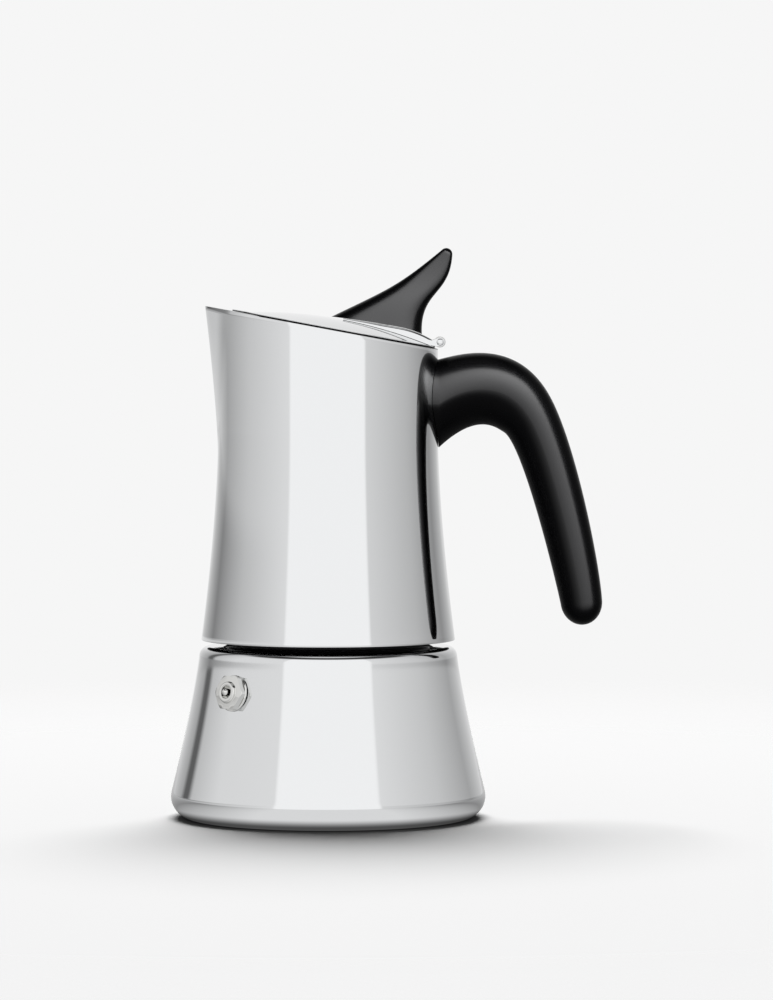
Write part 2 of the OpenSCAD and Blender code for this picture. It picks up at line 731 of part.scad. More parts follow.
block_w = 8;
block_h = 7;
block_l = 17;
block_rise = 2.5;
block_z = handle_root_z + block_rise;
handle_screw_out = 12;
handle_screw_x = collector_r + handle_screw_out;
handle_head_r = handle_screw_r * 1.6;
handle_head_t = 1.8;
handle_seat_drop = 1.4;
handle_seat_z = block_z - block_h / 2 - handle_seat_drop;
room_over = 20;
room_under = 25;

module collector_room(gap) {
    low = handle_root_z - room_under;
    steps = 10;
    rotate_extrude() polygon(concat([[0, rim_z + room_over], [0, low]],
        [for (i = [0:steps]) let (z = mix(low, rim_z + room_over, i / steps))
            [collector_wall_r(z) + gap, z]]));
}

module handle() {
    color(black) difference() {
        handle_shape();
        collector_room(2 * touch);
        translate([0, -block_w / 2 - touch, block_z - block_h / 2 - touch])
            cube([collector_r + block_l + touch, block_w + 2 * touch, block_h + 2 * touch]);
        translate([handle_screw_x, 0, 0]) cylinder(h = block_z, r = handle_screw_r + 2 * touch);
        translate([handle_screw_x, 0, 0]) cylinder(h = handle_seat_z, r = handle_head_r + loose);
    }
}

module handle_bracket() {
    color(dull_steel) difference() {
        translate([0, -block_w / 2, block_z - block_h / 2]) cube([collector_r + block_l, block_w, block_h]);
        collector_room(touch);
        translate([handle_screw_x, 0, 0]) cylinder(h = rim_z, r = handle_screw_r + touch);
    }
}

module handle_screw() {
    color(dull_steel) translate([handle_screw_x, 0, 0]) {
        translate([0, 0, handle_seat_z - handle_head_t]) cylinder(h = handle_head_t, r = handle_head_r);
        translate([0, 0, handle_seat_z - touch])
            cylinder(h = block_z + block_h / 2 - handle_seat_z, r = handle_screw_r);
    }
}

boiler();
base_plate();
valve_body();
valve_washer();
valve_gasket();
valve_nut();
valve_seat();
valve_pin();
valve_seal();
valve_spring();
funnel();
funnel_strainer();
gasket();
filter_plate();
collector();
collector_base();
column();
column_cap();
hinge_bracket();
hinge_pin();
lid();
lid_strap();
knob();
knob_screw();
knob_washer();
handle();
handle_bracket();
handle_screw();
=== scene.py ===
# %% [markdown]
# # A moka pot in mirror-polished steel
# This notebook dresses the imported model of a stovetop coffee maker: a flared boiler, a drawn collector
# with a pointed spout, a domed lid with a horn for a knob, and a hook for a handle. Every piece sits
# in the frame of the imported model, in metres, so we start by loading that frame.

# %% Load the frame
import json
import math

import bmesh
import bpy
from mathutils import Matrix, Vector


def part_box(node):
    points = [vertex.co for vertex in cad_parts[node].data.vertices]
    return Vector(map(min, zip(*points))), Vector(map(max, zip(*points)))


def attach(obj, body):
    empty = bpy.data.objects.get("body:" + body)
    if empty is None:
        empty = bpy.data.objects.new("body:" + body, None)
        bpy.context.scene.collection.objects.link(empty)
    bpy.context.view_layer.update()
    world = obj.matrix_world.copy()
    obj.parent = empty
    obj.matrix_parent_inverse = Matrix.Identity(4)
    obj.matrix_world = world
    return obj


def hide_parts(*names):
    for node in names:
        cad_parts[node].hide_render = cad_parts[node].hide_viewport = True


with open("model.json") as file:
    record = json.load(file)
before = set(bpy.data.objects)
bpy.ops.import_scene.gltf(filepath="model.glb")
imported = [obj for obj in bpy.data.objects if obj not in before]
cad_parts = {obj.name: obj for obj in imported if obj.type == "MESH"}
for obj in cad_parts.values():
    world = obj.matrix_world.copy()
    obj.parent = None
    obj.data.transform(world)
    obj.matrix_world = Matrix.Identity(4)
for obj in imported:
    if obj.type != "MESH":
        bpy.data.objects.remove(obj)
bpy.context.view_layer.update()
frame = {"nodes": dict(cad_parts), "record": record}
MM = 0.001

# %% [markdown]
# The camera looks level along +Y from well in front of the pot, a little above its rim and turned down
# by two degrees, so the rim is seen edge-on and the base shows as a flat ellipse. A long lens does that.

# %% Camera
VIEW_WIDTH = 231.9 * MM       # what the frame covers at the pot's axis
CAMERA_AWAY = 1500 * MM
CAMERA_HEIGHT = 148 * MM
AIM = Vector((17.5 * MM, 0, 95.4 * MM))
SENSOR = 36                   # mm

camera_data = bpy.data.cameras.new("camera")
camera = bpy.data.objects.new("camera", camera_data)
bpy.context.scene.collection.objects.link(camera)
camera.location = (AIM.x, -CAMERA_AWAY, CAMERA_HEIGHT)
look = AIM - camera.location
camera.rotation_euler = look.to_track_quat("-Z", "Y").to_euler()
camera_data.sensor_fit = "HORIZONTAL"
camera_data.sensor_width = SENSOR
camera_data.lens = SENSOR * look.length / VIEW_WIDTH
camera_data.clip_start = 0.05
bpy.context.scene.camera = camera
bpy.context.scene.view_settings.view_transform = "Standard"
print("lens", round(camera_data.lens, 1), "mm")

# %% [markdown]
# Materials, the world and the shapes made by nodes are all node trees. Small functions add a node with its
# settings and links, do one step of arithmetic in a tree, and turn the sRGB hex of a colour into the linear
# numbers that a shader works in.

# %% Helpers for nodes and colours
def add_node(tree, kind, settings=None, **inputs):
    """Add a node; a link goes in where an input's value is a socket."""
    made = tree.nodes.new(kind)
    for key, value in (settings or {}).items():
        setattr(made, key, value)
    for key, value in inputs.items():
        place = int(key[1:]) if key[0] == "i" and key[1:].isdigit() else key.replace("_", " ")
        socket = made.inputs[place]
        if isinstance(value, bpy.types.NodeSocket):
            tree.links.new(value, socket)
        else:
            socket.default_value = value
    return made


def reckon(tree, operation, a, b=0.0, c=0.0):
    """One step of arithmetic in a tree."""
    return add_node(tree, "ShaderNodeMath", {"operation": operation}, i0=a, i1=b, i2=c).outputs[0]


def to_scene(name, data):
    """A new object in the scene, at the origin."""
    made = bpy.data.objects.new(name, data)
    bpy.context.scene.collection.objects.link(made)
    return made


def linear(hex_colour):
    """The linear RGBA of an sRGB colour written as hex."""
    parts = [int(hex_colour[i:i + 2], 16) / 255 for i in (1, 3, 5)]
    return tuple(p / 12.92 if p <= 0.04045 else ((p + 0.055) / 1.055) ** 2.4 for p in parts) + (1.0,)


PAPER = "#f6f6f6"
print("paper is", [round(c, 3) for c in linear(PAPER)])

# %% [markdown]
# Polished steel has no look of its own: it shows the studio. This one is a white tent with a broad soft
# box behind the camera. On each side the wall falls away from the box to a seam, and it brightens again
# toward the back; the wall is darker at some heights than at others, and a narrow black card hangs high on
# the left. Over it all is a dark gap under a bright top. A wall that leans back mirrors lower places toward
# its sides, so the bands sink in the same way. Diffuse light is plain and even, so colours stay as written.

# %% The studio as a world
BOX_LEVEL, GAP_LEVEL, TOP_LEVEL, BEHIND_LEVEL = 1.25, 0.05, 0.75, 1.0
LOOK_DOWN = 0.063              # the sine of the angle at which the camera looks down on the pot's neck
LEAST_FACING = 0.15            # keeps the bands from sinking without end behind the pot
BOX_EDGE, SIDE_ON, SEAM_AT = 39, 90, 130       # azimuths in degrees to either side of the camera
SIDE_SHARE = 0.45              # how far a wall has fallen toward its seam's level where it is side-on
CARD = ((120, 0.7), (126, 0.15), (132, 0.15), (138, 0.5))
TENT = {"ground": ((1.0, 0.75), (0.9, 0.35)),  # left and right wall: the level by the box and at the seam
        "low": ((1.0, 0.5), (0.9, 0.35)),
        "middle": ((1.0, 0.3), (0.9, 0.35)),
        "high": ((1.0, 0.9), (1.0, 0.5))}


def tent_wall(left, right, card=()):
    """Pairs of azimuth and level right round the tent at one height; a card takes the left seam's place."""
    sides = []
    for (near, seam), at_seam in ((left, card), (right, ())):
        side_on = near + (seam - near) * SIDE_SHARE
        sides.append([(BOX_EDGE, BOX_LEVEL), (BOX_EDGE + 1, near), (SIDE_ON, side_on)]
                     + list(at_seam or [(SEAM_AT, seam)]) + [(180, BEHIND_LEVEL)])
    return [(-degrees, level) for degrees, level in sides[0][::-1]] + sides[1]


world = bpy.data.worlds.new("studio")
bpy.context.scene.world = world
world.use_nodes = True
tree = world.node_tree
tree.nodes.clear()


def grey(level):
    return (level, level, level, 1)


def level_steps(tree, place, steps):
    """A ramp from pairs of place, 0 to 1, and level."""
    ramp = add_node(tree, "ShaderNodeValToRGB", Fac=place)
    stops = ramp.color_ramp.elements
    stops.remove(stops[1])
    stops[0].position, stops[0].color = steps[0][0], grey(steps[0][1])
    for at, level in steps[1:]:
        stops.new(at).color = grey(level)
    return ramp.outputs["Color"]


def level_ramp(tree, place, wall):
    """A ramp over the azimuth from pairs of degrees and level."""
    return level_steps(tree, place, [(0.5 + degrees / 360, level) for degrees, level in wall])


def mix_colours(tree, share, a, b, **settings):
    return add_node(tree, "ShaderNodeMix", {"data_type": "RGBA", **settings}, i0=share, i6=a, i7=b).outputs[2]


def blend_up(tree, height, start, end, below, above):
    """Goes from one colour to another between two heights in degrees."""
    share = add_node(tree, "ShaderNodeMapRange", {"interpolation_type": "SMOOTHSTEP"}, Value=height,
                     From_Min=math.sin(math.radians(start)), From_Max=math.sin(math.radians(end)))
    return mix_colours(tree, share.outputs[0], below, above)


def azimuth_share(tree, place):
    """A place's azimuth from the camera's side, as a share of a full turn, and the azimuth itself."""
    toward = reckon(tree, "MULTIPLY", place.outputs["Y"], -1.0)
    azimuth = reckon(tree, "ARCTAN2", place.outputs["X"], toward)
    return reckon(tree, "MULTIPLY_ADD", azimuth, 0.5 / math.pi, 0.5), azimuth


generated = add_node(tree, "ShaderNodeTexCoord").outputs["Generated"]
direction = add_node(tree, "ShaderNodeSeparateXYZ", Vector=generated)
height = direction.outputs["Z"]
turn, azimuth = azimuth_share(tree, direction)
facing = reckon(tree, "MAXIMUM", reckon(tree, "COSINE", reckon(tree, "MULTIPLY", azimuth, 0.5)), LEAST_FACING)
lean = reckon(tree, "DIVIDE", reckon(tree, "ADD", height, LOOK_DOWN), facing)
ground, low, middle, high = (level_ramp(tree, turn, tent_wall(*sides, CARD if name == "high" else ()))
                             for name, sides in TENT.items())
tent = blend_up(tree, height, -3, -1, ground, low)
tent = blend_up(tree, lean, 10, 12.5, tent, middle)
tent = blend_up(tree, lean, 15, 16.2, tent, high)
tent = blend_up(tree, height, 44, 56, tent, grey(GAP_LEVEL))
tent = blend_up(tree, height, 66, 80, tent, grey(TOP_LEVEL))

ray = add_node(tree, "ShaderNodeLightPath")
mirrored = reckon(tree, "MAXIMUM", ray.outputs["Is Glossy Ray"], ray.outputs["Is Transmission Ray"])
shows_paper = reckon(tree, "MAXIMUM", ray.outputs["Is Camera Ray"], mirrored)
pattern = mix_colours(tree, mirrored, grey(1), tent)
lit_paper = mix_colours(tree, 1.0, linear(PAPER), pattern, blend_type="MULTIPLY")
background = add_node(tree, "ShaderNodeBackground", Color=mix_colours(tree, shows_paper, grey(1), lit_paper))
add_node(tree, "ShaderNodeOutputWorld", Surface=background.outputs[0])
print("studio:", len(tree.nodes), "nodes")

# %% [markdown]
# The floor is a paper disc. It lies in the light of one soft lamp above and behind the pot, linked to it
# alone, so the pot throws its shadow forward and the rest stays white. The disc fades out before its
# edge, so no horizon shows. In the steel's mirror the paper is not lit but glows as an emission: a painted
# reflection, darker toward the sides and the back, with a painted shadow where it nears the boiler's foot.

# %% Floor
FLOOR_R = 900 * MM
FLOOR_FADE = (250 * MM, 620 * MM)
FLOOR_SHARE = 0.06            # how much of the tent's own light the paper takes; the lamp gives the rest
FLOOR_FRONT, FLOOR_SIDE, FLOOR_BACK = 0.9, 0.3, 0.7         # painted reflection: how bright the paper glows in the steel's mirror
FLOOR_PAINTED_TONES = [(-180, FLOOR_BACK), (-95, FLOOR_SIDE), (-30, FLOOR_FRONT), (30, FLOOR_FRONT), (95, FLOOR_SIDE),
               (180, FLOOR_BACK)]
FLOOR_PAINTED_SHADOW_EDGE = (43.5 * MM, 49 * MM)              # painted shadow: the mirrored paper brightens over this distance from the axis
FLOOR_PAINTED_SHADOW = 0.1                              # painted shadow: its share of that brightness under the boiler
FLOOR_DROP = 0.02 * MM                         # below the boiler's foot
TOP_AWAY, TOP_UP, TOP_HALF, TOP_GAIN = 12.0, math.radians(60), math.radians(22), 1.18

bm = bmesh.new()
bmesh.ops.create_circle(bm, cap_ends=True, segments=96, radius=FLOOR_R)
floor_mesh = bpy.data.meshes.new("floor")
bm.to_mesh(floor_mesh)
bm.free()
floor = to_scene("floor", floor_mesh)
floor.location.z = -FLOOR_DROP

paper = bpy.data.materials.new("seamless paper")
paper.use_nodes = True
tree = paper.node_tree
tree.nodes.clear()
spot = add_node(tree, "ShaderNodeTexCoord").outputs["Object"]
away = add_node(tree, "ShaderNodeVectorMath", {"operation": "LENGTH"}, i0=spot)
fade = add_node(tree, "ShaderNodeMapRange", {"interpolation_type": "SMOOTHSTEP"}, Value=away.outputs["Value"],
                From_Min=FLOOR_FADE[0], From_Max=FLOOR_FADE[1])
across = add_node(tree, "ShaderNodeSeparateXYZ", Vector=spot)
paper_colour = tuple(c * FLOOR_SHARE for c in linear(PAPER)[:3]) + (1.0,)
matt = add_node(tree, "ShaderNodeBsdfDiffuse", Color=paper_colour)
# painted reflection and painted shadow: mirrors see the paper glowing, toned by azimuth and darkened near the
# boiler's foot
painted_shadow_fade = add_node(tree, "ShaderNodeMapRange", {"interpolation_type": "SMOOTHSTEP"},
                    Value=away.outputs["Value"], From_Min=FLOOR_PAINTED_SHADOW_EDGE[0], From_Max=FLOOR_PAINTED_SHADOW_EDGE[1],
                    To_Min=FLOOR_PAINTED_SHADOW, To_Max=1.0)
painted_tones = level_ramp(tree, azimuth_share(tree, across)[0], FLOOR_PAINTED_TONES)
painted_paper_reflection = add_node(tree, "ShaderNodeEmission", Color=painted_tones, Strength=painted_shadow_fade.outputs[0])
mirror_ray = add_node(tree, "ShaderNodeLightPath").outputs["Is Glossy Ray"]
face = add_node(tree, "ShaderNodeMixShader", Fac=mirror_ray, i1=matt.outputs[0], i2=painted_paper_reflection.outputs[0])
clear = add_node(tree, "ShaderNodeBsdfTransparent")
both = add_node(tree, "ShaderNodeMixShader", Fac=fade.outputs[0], i1=face.outputs[0], i2=clear.outputs[0])
add_node(tree, "ShaderNodeOutputMaterial", Surface=both.outputs[0])
floor_mesh.materials.append(paper)

lamp_data = bpy.data.lights.new("top light", "AREA")
lamp_data.shape = "DISK"
lamp_data.size = 2 * TOP_AWAY * math.tan(TOP_HALF)
share_of_sky = math.tan(TOP_HALF) ** 2 * math.pi * math.sin(TOP_UP)
radiance = TOP_GAIN * math.pi * (1 / FLOOR_SHARE - 1) / share_of_sky
lamp_data.energy = radiance * math.pi * math.pi * (lamp_data.size / 2) ** 2
lamp = to_scene("top light", lamp_data)
towards_lamp = Vector((0, math.cos(TOP_UP), math.sin(TOP_UP)))
lamp.location = towards_lamp * TOP_AWAY
lamp.rotation_euler = towards_lamp.to_track_quat("Z", "Y").to_euler()
lit_floor = bpy.data.collections.new("lit floor")
lit_floor.objects.link(floor)
lamp.light_linking.receiver_collection = lit_floor
print("top light:", round(lamp_data.size, 2), "m,", round(lamp_data.energy), "W")

# %% [markdown]
# Each metal starts from one principled shader. Polished sheet keeps faint lines from the buffing wheel,
# which run round the pot: noise squeezed along Z and stretched round the axis gives them, as a bump of
# a hundredth of a millimetre and a slight change of roughness.

# %% Metals
def new_material(name):
    made = bpy.data.materials.new(name)
    made.use_nodes = True
    made.node_tree.nodes.clear()
    return made, made.node_tree


def spun_metal(name, colour, roughness, line_mm, depth_mm, blotch=0.02):
    """Sheet metal with fine lines round the Z axis."""
    made, tree = new_material(name)
    spot = add_node(tree, "ShaderNodeTexCoord").outputs["Object"]
    squeezed = add_node(tree, "ShaderNodeMapping", {"vector_type": "POINT"}, Vector=spot,
                        Scale=(6, 6, 1000 / line_mm))
    lines = add_node(tree, "ShaderNodeTexNoise", Vector=squeezed.outputs[0], Scale=1.0, Detail=3.0)
    clouds = add_node(tree, "ShaderNodeTexNoise", Vector=spot, Scale=60.0, Detail=2.0)
    rough = add_node(tree, "ShaderNodeMapRange", Value=clouds.outputs["Fac"], To_Min=roughness - blotch,
                     To_Max=roughness + blotch)
    bump = add_node(tree, "ShaderNodeBump", Height=lines.outputs["Fac"], Strength=1.0, Distance=depth_mm * MM)
    shader = add_node(tree, "ShaderNodeBsdfPrincipled", Base_Color=linear(colour), Metallic=1.0,
                      Roughness=rough.outputs[0], Normal=bump.outputs[0])
    add_node(tree, "ShaderNodeOutputMaterial", Surface=shader.outputs[0])
    return made


polished_steel = spun_metal("buffed stainless steel", "#dfe0e1", 0.05, 0.8, 0.0003)
satin_steel = spun_metal("satin stainless steel", "#c9c9c8", 0.3, 0.3, 0.002, 0.05)
nickel = spun_metal("nickel-plated brass", "#dadad8", 0.05, 0.4, 0.0003)
# painted shade: this dark steel stands in for the shade in the gaps round the neck and at the lid's edge
shade_painted_steel = spun_metal("steel painted dark for shade", "#1e1e1f", 0.35, 0.3, 0.001, 0.05)
aluminium = spun_metal("brushed aluminium disc", "#cfd0d2", 0.36, 0.3, 0.003, 0.05)

# %% [markdown]
# The horn and the handle are moulded in black nylon with a satin surface. It reads as black, with a wide
# grey highlight, and a very fine grain from the blasted mould breaks that highlight up a little.

# %% Plastic and silicone
def moulded(name, colour, roughness, grain_mm, depth_mm, specular=0.5):
    made, tree = new_material(name)
    spot = add_node(tree, "ShaderNodeTexCoord").outputs["Object"]
    grain = add_node(tree, "ShaderNodeTexNoise", Vector=spot, Scale=1000 / grain_mm, Detail=2.0)
    rough = add_node(tree, "ShaderNodeMapRange", Value=grain.outputs["Fac"], To_Min=roughness - 0.04,
                     To_Max=roughness + 0.04)
    bump = add_node(tree, "ShaderNodeBump", Height=grain.outputs["Fac"], Strength=0.4, Distance=depth_mm * MM)
    shader = add_node(tree, "ShaderNodeBsdfPrincipled", Base_Color=linear(colour), IOR=1.53,
                      Specular_IOR_Level=specular, Roughness=rough.outputs[0], Normal=bump.outputs[0])
    add_node(tree, "ShaderNodeOutputMaterial", Surface=shader.outputs[0])
    return made


black_nylon = moulded("satin black nylon", "#030304", 0.27, 0.35, 0.0004, 0.025)
silicone = moulded("moulded silicone", "#d5d1c6", 0.45, 0.5, 0.002)
print("materials:", [m.name for m in bpy.data.materials])

# %% [markdown]
# The pot's sizes, in millimetres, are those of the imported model, so a dressed piece lies exactly where its
# solid is. A few small functions give the curves that several pieces share.

# %% Shared sizes and curves
BOILER_H, NECK_R, NECK_TOP, SHEET = 51.6, 30.5, 63.0, 0.8
FOOT_Z, RIM_Z, RIM_SLOPE = 53.5, 146.8, math.radians(10.5)
COLLECTOR_R = 32.95


def mix(a, b, t):
    return a + (b - a) * t


def arc(x, y, r, start, end, count):
    angles = [math.radians(mix(start, end, i / count)) for i in range(count + 1)]
    return [(x + r * math.cos(a), y + r * math.sin(a)) for a in angles]


def bezier(points, t):
    shares = ((1 - t) ** 3, 3 * (1 - t) ** 2 * t, 3 * (1 - t) * t * t, t ** 3)
    return sum((Vector(p) * s for p, s in zip(points, shares)), Vector((0,) * len(points[0])))


def signed_power(v, e):
    return math.copysign(abs(v) ** e, v)


RIM_FRAME = Matrix.Translation((0, 0, RIM_Z)) @ Matrix.Rotation(RIM_SLOPE, 4, "Y")
print("rim frame leans", round(math.degrees(RIM_SLOPE), 1), "degrees")

# %% [markdown]
# Every piece ends the same way: its points become a mesh in metres, smooth but with true edges kept sharp,
# it gets its material, it rides on a body of the model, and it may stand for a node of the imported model.

# %% Finishing a piece
def finish(piece, body, replaces=(), sharp=35):
    mesh = piece.data
    mesh.shade_smooth()
    mesh.set_sharp_from_angle(angle=math.radians(sharp))
    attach(piece, body)
    for node in replaces:
        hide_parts(node)
    print(f"{piece.name}: {sum(len(p.vertices) - 2 for p in mesh.polygons)} triangles on {body}")
    return piece


def mesh_piece(name, points, faces, material, frame_matrix=Matrix.Identity(4)):
    """An object from points in mm; its doubles are merged and its faces turned outward."""
    mesh = bpy.data.meshes.new(name)
    mesh.from_pydata([tuple((frame_matrix @ Vector(p)) * MM) for p in points], [], faces)
    bm = bmesh.new()
    bm.from_mesh(mesh)
    bmesh.ops.remove_doubles(bm, verts=bm.verts, dist=1e-7)
    bmesh.ops.dissolve_degenerate(bm, edges=bm.edges, dist=1e-8)
    bmesh.ops.recalc_face_normals(bm, faces=bm.faces)
    bm.to_mesh(mesh)
    bm.free()
    mesh.materials.append(material)
    return to_scene(name, mesh)


def paint_shade_dark(piece, test):
    """Paint shade: give the dark steel to the faces whose middle, in mm, passes a test."""
    piece.data.materials.append(shade_painted_steel)
    for face in piece.data.polygons:
        if test(face.center / MM):
            face.material_index = len(piece.data.materials) - 1


def cut_away(piece, *cutters, operation="DIFFERENCE"):
    """Take the cutters' shapes out of a piece, or keep only what lies in them, and remove the cutters."""
    for cutter in cutters:
        cut = piece.modifiers.new("cut", "BOOLEAN")
        cut.object, cut.operation, cut.solver = cutter, operation, "EXACT"
    piece.data = bpy.data.meshes.new_from_object(piece.evaluated_get(bpy.context.evaluated_depsgraph_get()))
    piece.modifiers.clear()
    for cutter in cutters:
        bpy.data.objects.remove(cutter)


def skin_faces(rings, around, closed=False, caps=True):
    """Faces between rings of equal count; closed joins the last ring to the first."""
    faces = []
    for i in range(rings if closed else rings - 1):
        a, b = i * around, (i + 1) % rings * around
        faces += [(a + j, a + (j + 1) % around, b + (j + 1) % around, b + j) for j in range(around)]
    if caps and not closed:
        faces += [tuple(range(around))[::-1], tuple((rings - 1) * around + j for j in range(around))]
    return faces

# %% [markdown]
# Most of the pot is spun: sheet turned over a form, so one outline runs all the way round. This Geometry
# Nodes tree is a lathe. It reads an outline of points, lays a grid with one row for each point, and
# turns every column of the grid to its own angle; merging the first and last columns closes it.

# %% A lathe in Geometry Nodes
def tree_for(name, inputs):
    """A new Geometry Nodes tree with a mesh in, a mesh out, named inputs and a material."""
    tree = bpy.data.node_groups.new(name, "GeometryNodeTree")
    tree.interface.new_socket("Geometry", in_out="INPUT", socket_type="NodeSocketGeometry")
    for label, kind in {**inputs, "Material": "Material"}.items():
        tree.interface.new_socket(label, in_out="INPUT", socket_type="NodeSocket" + kind)
    tree.interface.new_socket("Geometry", in_out="OUTPUT", socket_type="NodeSocketGeometry")
    return tree, add_node(tree, "NodeGroupInput")


def end_tree(tree, shaped, given):
    """Realize what a tree has made, give it its material and put it out."""
    real = add_node(tree, "GeometryNodeRealizeInstances", Geometry=shaped.outputs[0])
    dressed = add_node(tree, "GeometryNodeSetMaterial", Geometry=real.outputs[0],
                       Material=given.outputs["Material"])
    add_node(tree, "NodeGroupOutput", i0=dressed.outputs[0])


def run_tree(tree, name, mesh, values):
    """Run a tree over a mesh with its inputs set, and keep the result as a plain mesh object."""
    piece = to_scene(name, mesh)
    modifier = piece.modifiers.new("made by nodes", "NODES")
    modifier.node_group = tree
    for item in tree.interface.items_tree:
        if item.in_out == "INPUT" and item.name in values:
            modifier[item.identifier] = values[item.name]
    made = bpy.data.meshes.new_from_object(piece.evaluated_get(bpy.context.evaluated_depsgraph_get()))
    piece.modifiers.remove(modifier)
    piece.data = made
    made.name = name
    return piece


lathe, given = tree_for("lathe", {"Segments": "Int"})
size = add_node(lathe, "GeometryNodeAttributeDomainSize", i0=given.outputs["Geometry"])
row_count = size.outputs["Point Count"]
columns = reckon(lathe, "ADD", given.outputs["Segments"], 1.0)
grid = add_node(lathe, "GeometryNodeMeshGrid", Vertices_X=columns, Vertices_Y=row_count)
index = add_node(lathe, "GeometryNodeInputIndex").outputs[0]
row = reckon(lathe, "MODULO", index, row_count)
column = reckon(lathe, "FLOOR", reckon(lathe, "DIVIDE", index, row_count))
angle = reckon(lathe, "MULTIPLY", reckon(lathe, "DIVIDE", column, given.outputs["Segments"]), math.tau)
position = add_node(lathe, "GeometryNodeInputPosition").outputs[0]
outline = add_node(lathe, "GeometryNodeSampleIndex", {"data_type": "FLOAT_VECTOR", "domain": "POINT"},
                   Geometry=given.outputs["Geometry"], Value=position, Index=row)
turned_point = add_node(lathe, "ShaderNodeVectorRotate", {"rotation_type": "Z_AXIS"},
                        Vector=outline.outputs[0], Angle=angle)
shaped = add_node(lathe, "GeometryNodeSetPosition", Geometry=grid.outputs["Mesh"],
                  Position=turned_point.outputs[0])
closed = add_node(lathe, "GeometryNodeMergeByDistance", Geometry=shaped.outputs[0], Distance=1e-6)
end_tree(lathe, closed, given)


def turned(name, outline_mm, material, segments=128, frame_matrix=Matrix.Identity(4)):
    """A turned piece from its outline of (radius, height) in mm, closed on the axis or on itself."""
    mesh = bpy.data.meshes.new(name)
    mesh.from_pydata([(r * MM, 0, z * MM) for r, z in outline_mm],
                     [(i, i + 1) for i in range(len(outline_mm) - 1)], [])
    piece = run_tree(lathe, name, mesh, {"Segments": segments, "Material": material})
    bm = bmesh.new()
    bm.from_mesh(piece.data)
    bmesh.ops.dissolve_degenerate(bm, edges=bm.edges, dist=1e-7)
    bmesh.ops.recalc_face_normals(bm, faces=bm.faces)
    bmesh.ops.transform(bm, matrix=Matrix.Translation(frame_matrix.translation * MM)
                        @ frame_matrix.to_3x3().to_4x4(), verts=bm.verts)
    bm.to_mesh(piece.data)
    bm.free()
    return piece


print("lathe:", len(lathe.nodes), "nodes")

# %% [markdown]
# The boiler is one deep-drawn cup. Its wall flares toward the stove along a power curve, turns under in a
# round heel, and closes over a round shoulder to the neck. The outline below goes up the outside and
# back down the inside, so the wall has its real thickness of 0.8 mm.

# %% The boiler
WALL_TOP_R, WALL_FLARE, WALL_POWER = 38.45, 10.6, 1.25


def wall_r(z):
    return WALL_TOP_R + WALL_FLARE * max(0, 1 - z / BOILER_H) ** WALL_POWER


def wall_lean(z):
    slope = WALL_FLARE * WALL_POWER / BOILER_H * max(0, 1 - z / BOILER_H) ** (WALL_POWER - 1)
    return math.degrees(math.atan(slope))


HEEL_R, SHOULDER_R = 6.5, 3.0
heel_lean = wall_lean(HEEL_R)
heel_z = HEEL_R * (1 + math.sin(math.radians(heel_lean)))
heel_x = wall_r(heel_z) - HEEL_R * math.cos(math.radians(heel_lean))
shoulder_lean = wall_lean(BOILER_H - SHOULDER_R)
shoulder_mid = BOILER_H - SHOULDER_R
shoulder_z = shoulder_mid + SHOULDER_R * math.sin(math.radians(shoulder_lean))
shoulder_x = wall_r(shoulder_z) - SHOULDER_R * math.cos(math.radians(shoulder_lean))
PLATE_T, FLOOR_Z, FLOOR_ROUND = 3.1, 4.0, 3.0
plate_r = heel_x - 0.05
inner_z = FLOOR_Z + FLOOR_ROUND
outside = ([(0, PLATE_T), (plate_r, PLATE_T), (plate_r, 0)]
           + arc(heel_x, HEEL_R, HEEL_R, -90, heel_lean, 24)
           + [(wall_r(z), z) for z in (mix(heel_z, shoulder_z, i / 48) for i in range(1, 48))]
           + arc(shoulder_x, shoulder_mid, SHOULDER_R, shoulder_lean, 90, 16)
           + arc(NECK_R + 1.2, BOILER_H + 1.2, 1.2, 270, 180, 8)
           + [(NECK_R, NECK_TOP - 0.4), (NECK_R - 0.12, NECK_TOP - 0.12), (NECK_R - 0.4, NECK_TOP),
              (NECK_R - 1, NECK_TOP)])
inside = ([(NECK_R - 1, BOILER_H - SHEET)]
          + arc(shoulder_x, shoulder_mid, SHOULDER_R - SHEET, 90, shoulder_lean, 12)
          + [(wall_r(z) - SHEET, z) for z in (mix(inner_z, shoulder_z, i / 24) for i in range(23, 0, -1))]
          + arc(wall_r(inner_z) - SHEET - FLOOR_ROUND, inner_z, FLOOR_ROUND, 0, -90, 10)
          + [(0, FLOOR_Z)])
boiler = turned("boiler_shell", outside + inside, polished_steel, 256)
finish(boiler, "boiler", ["boiler"])

# %% [markdown]
# The collector screws onto the boiler's neck. Its thread is a second tree: a spiral, with a small diamond
# swept along it that shrinks to nothing at both ends, as a cut thread runs out.

# %% The neck's thread
screw, given = tree_for("thread", {"Radius": "Float", "Pitch": "Float", "Turns": "Float", "Depth": "Float",
                                   "Start": "Float"})
rise = reckon(screw, "MULTIPLY", given.outputs["Pitch"], given.outputs["Turns"])
spiral = add_node(screw, "GeometryNodeCurveSpiral", Resolution=96, Rotations=given.outputs["Turns"],
                  Start_Radius=given.outputs["Radius"], End_Radius=given.outputs["Radius"],
                  Height=rise, Reverse=False)
upright = add_node(screw, "GeometryNodeSetCurveNormal", Curve=spiral.outputs[0])
along = add_node(screw, "GeometryNodeSplineParameter").outputs["Factor"]
runs_in = add_node(screw, "ShaderNodeMapRange", Value=along, From_Max=0.05)
runs_out = add_node(screw, "ShaderNodeMapRange", Value=along, From_Min=1.0, From_Max=0.95)
full = reckon(screw, "MINIMUM", runs_in.outputs[0], runs_out.outputs[0])
section = add_node(screw, "GeometryNodeCurvePrimitiveCircle", Resolution=4, Radius=given.outputs["Depth"])
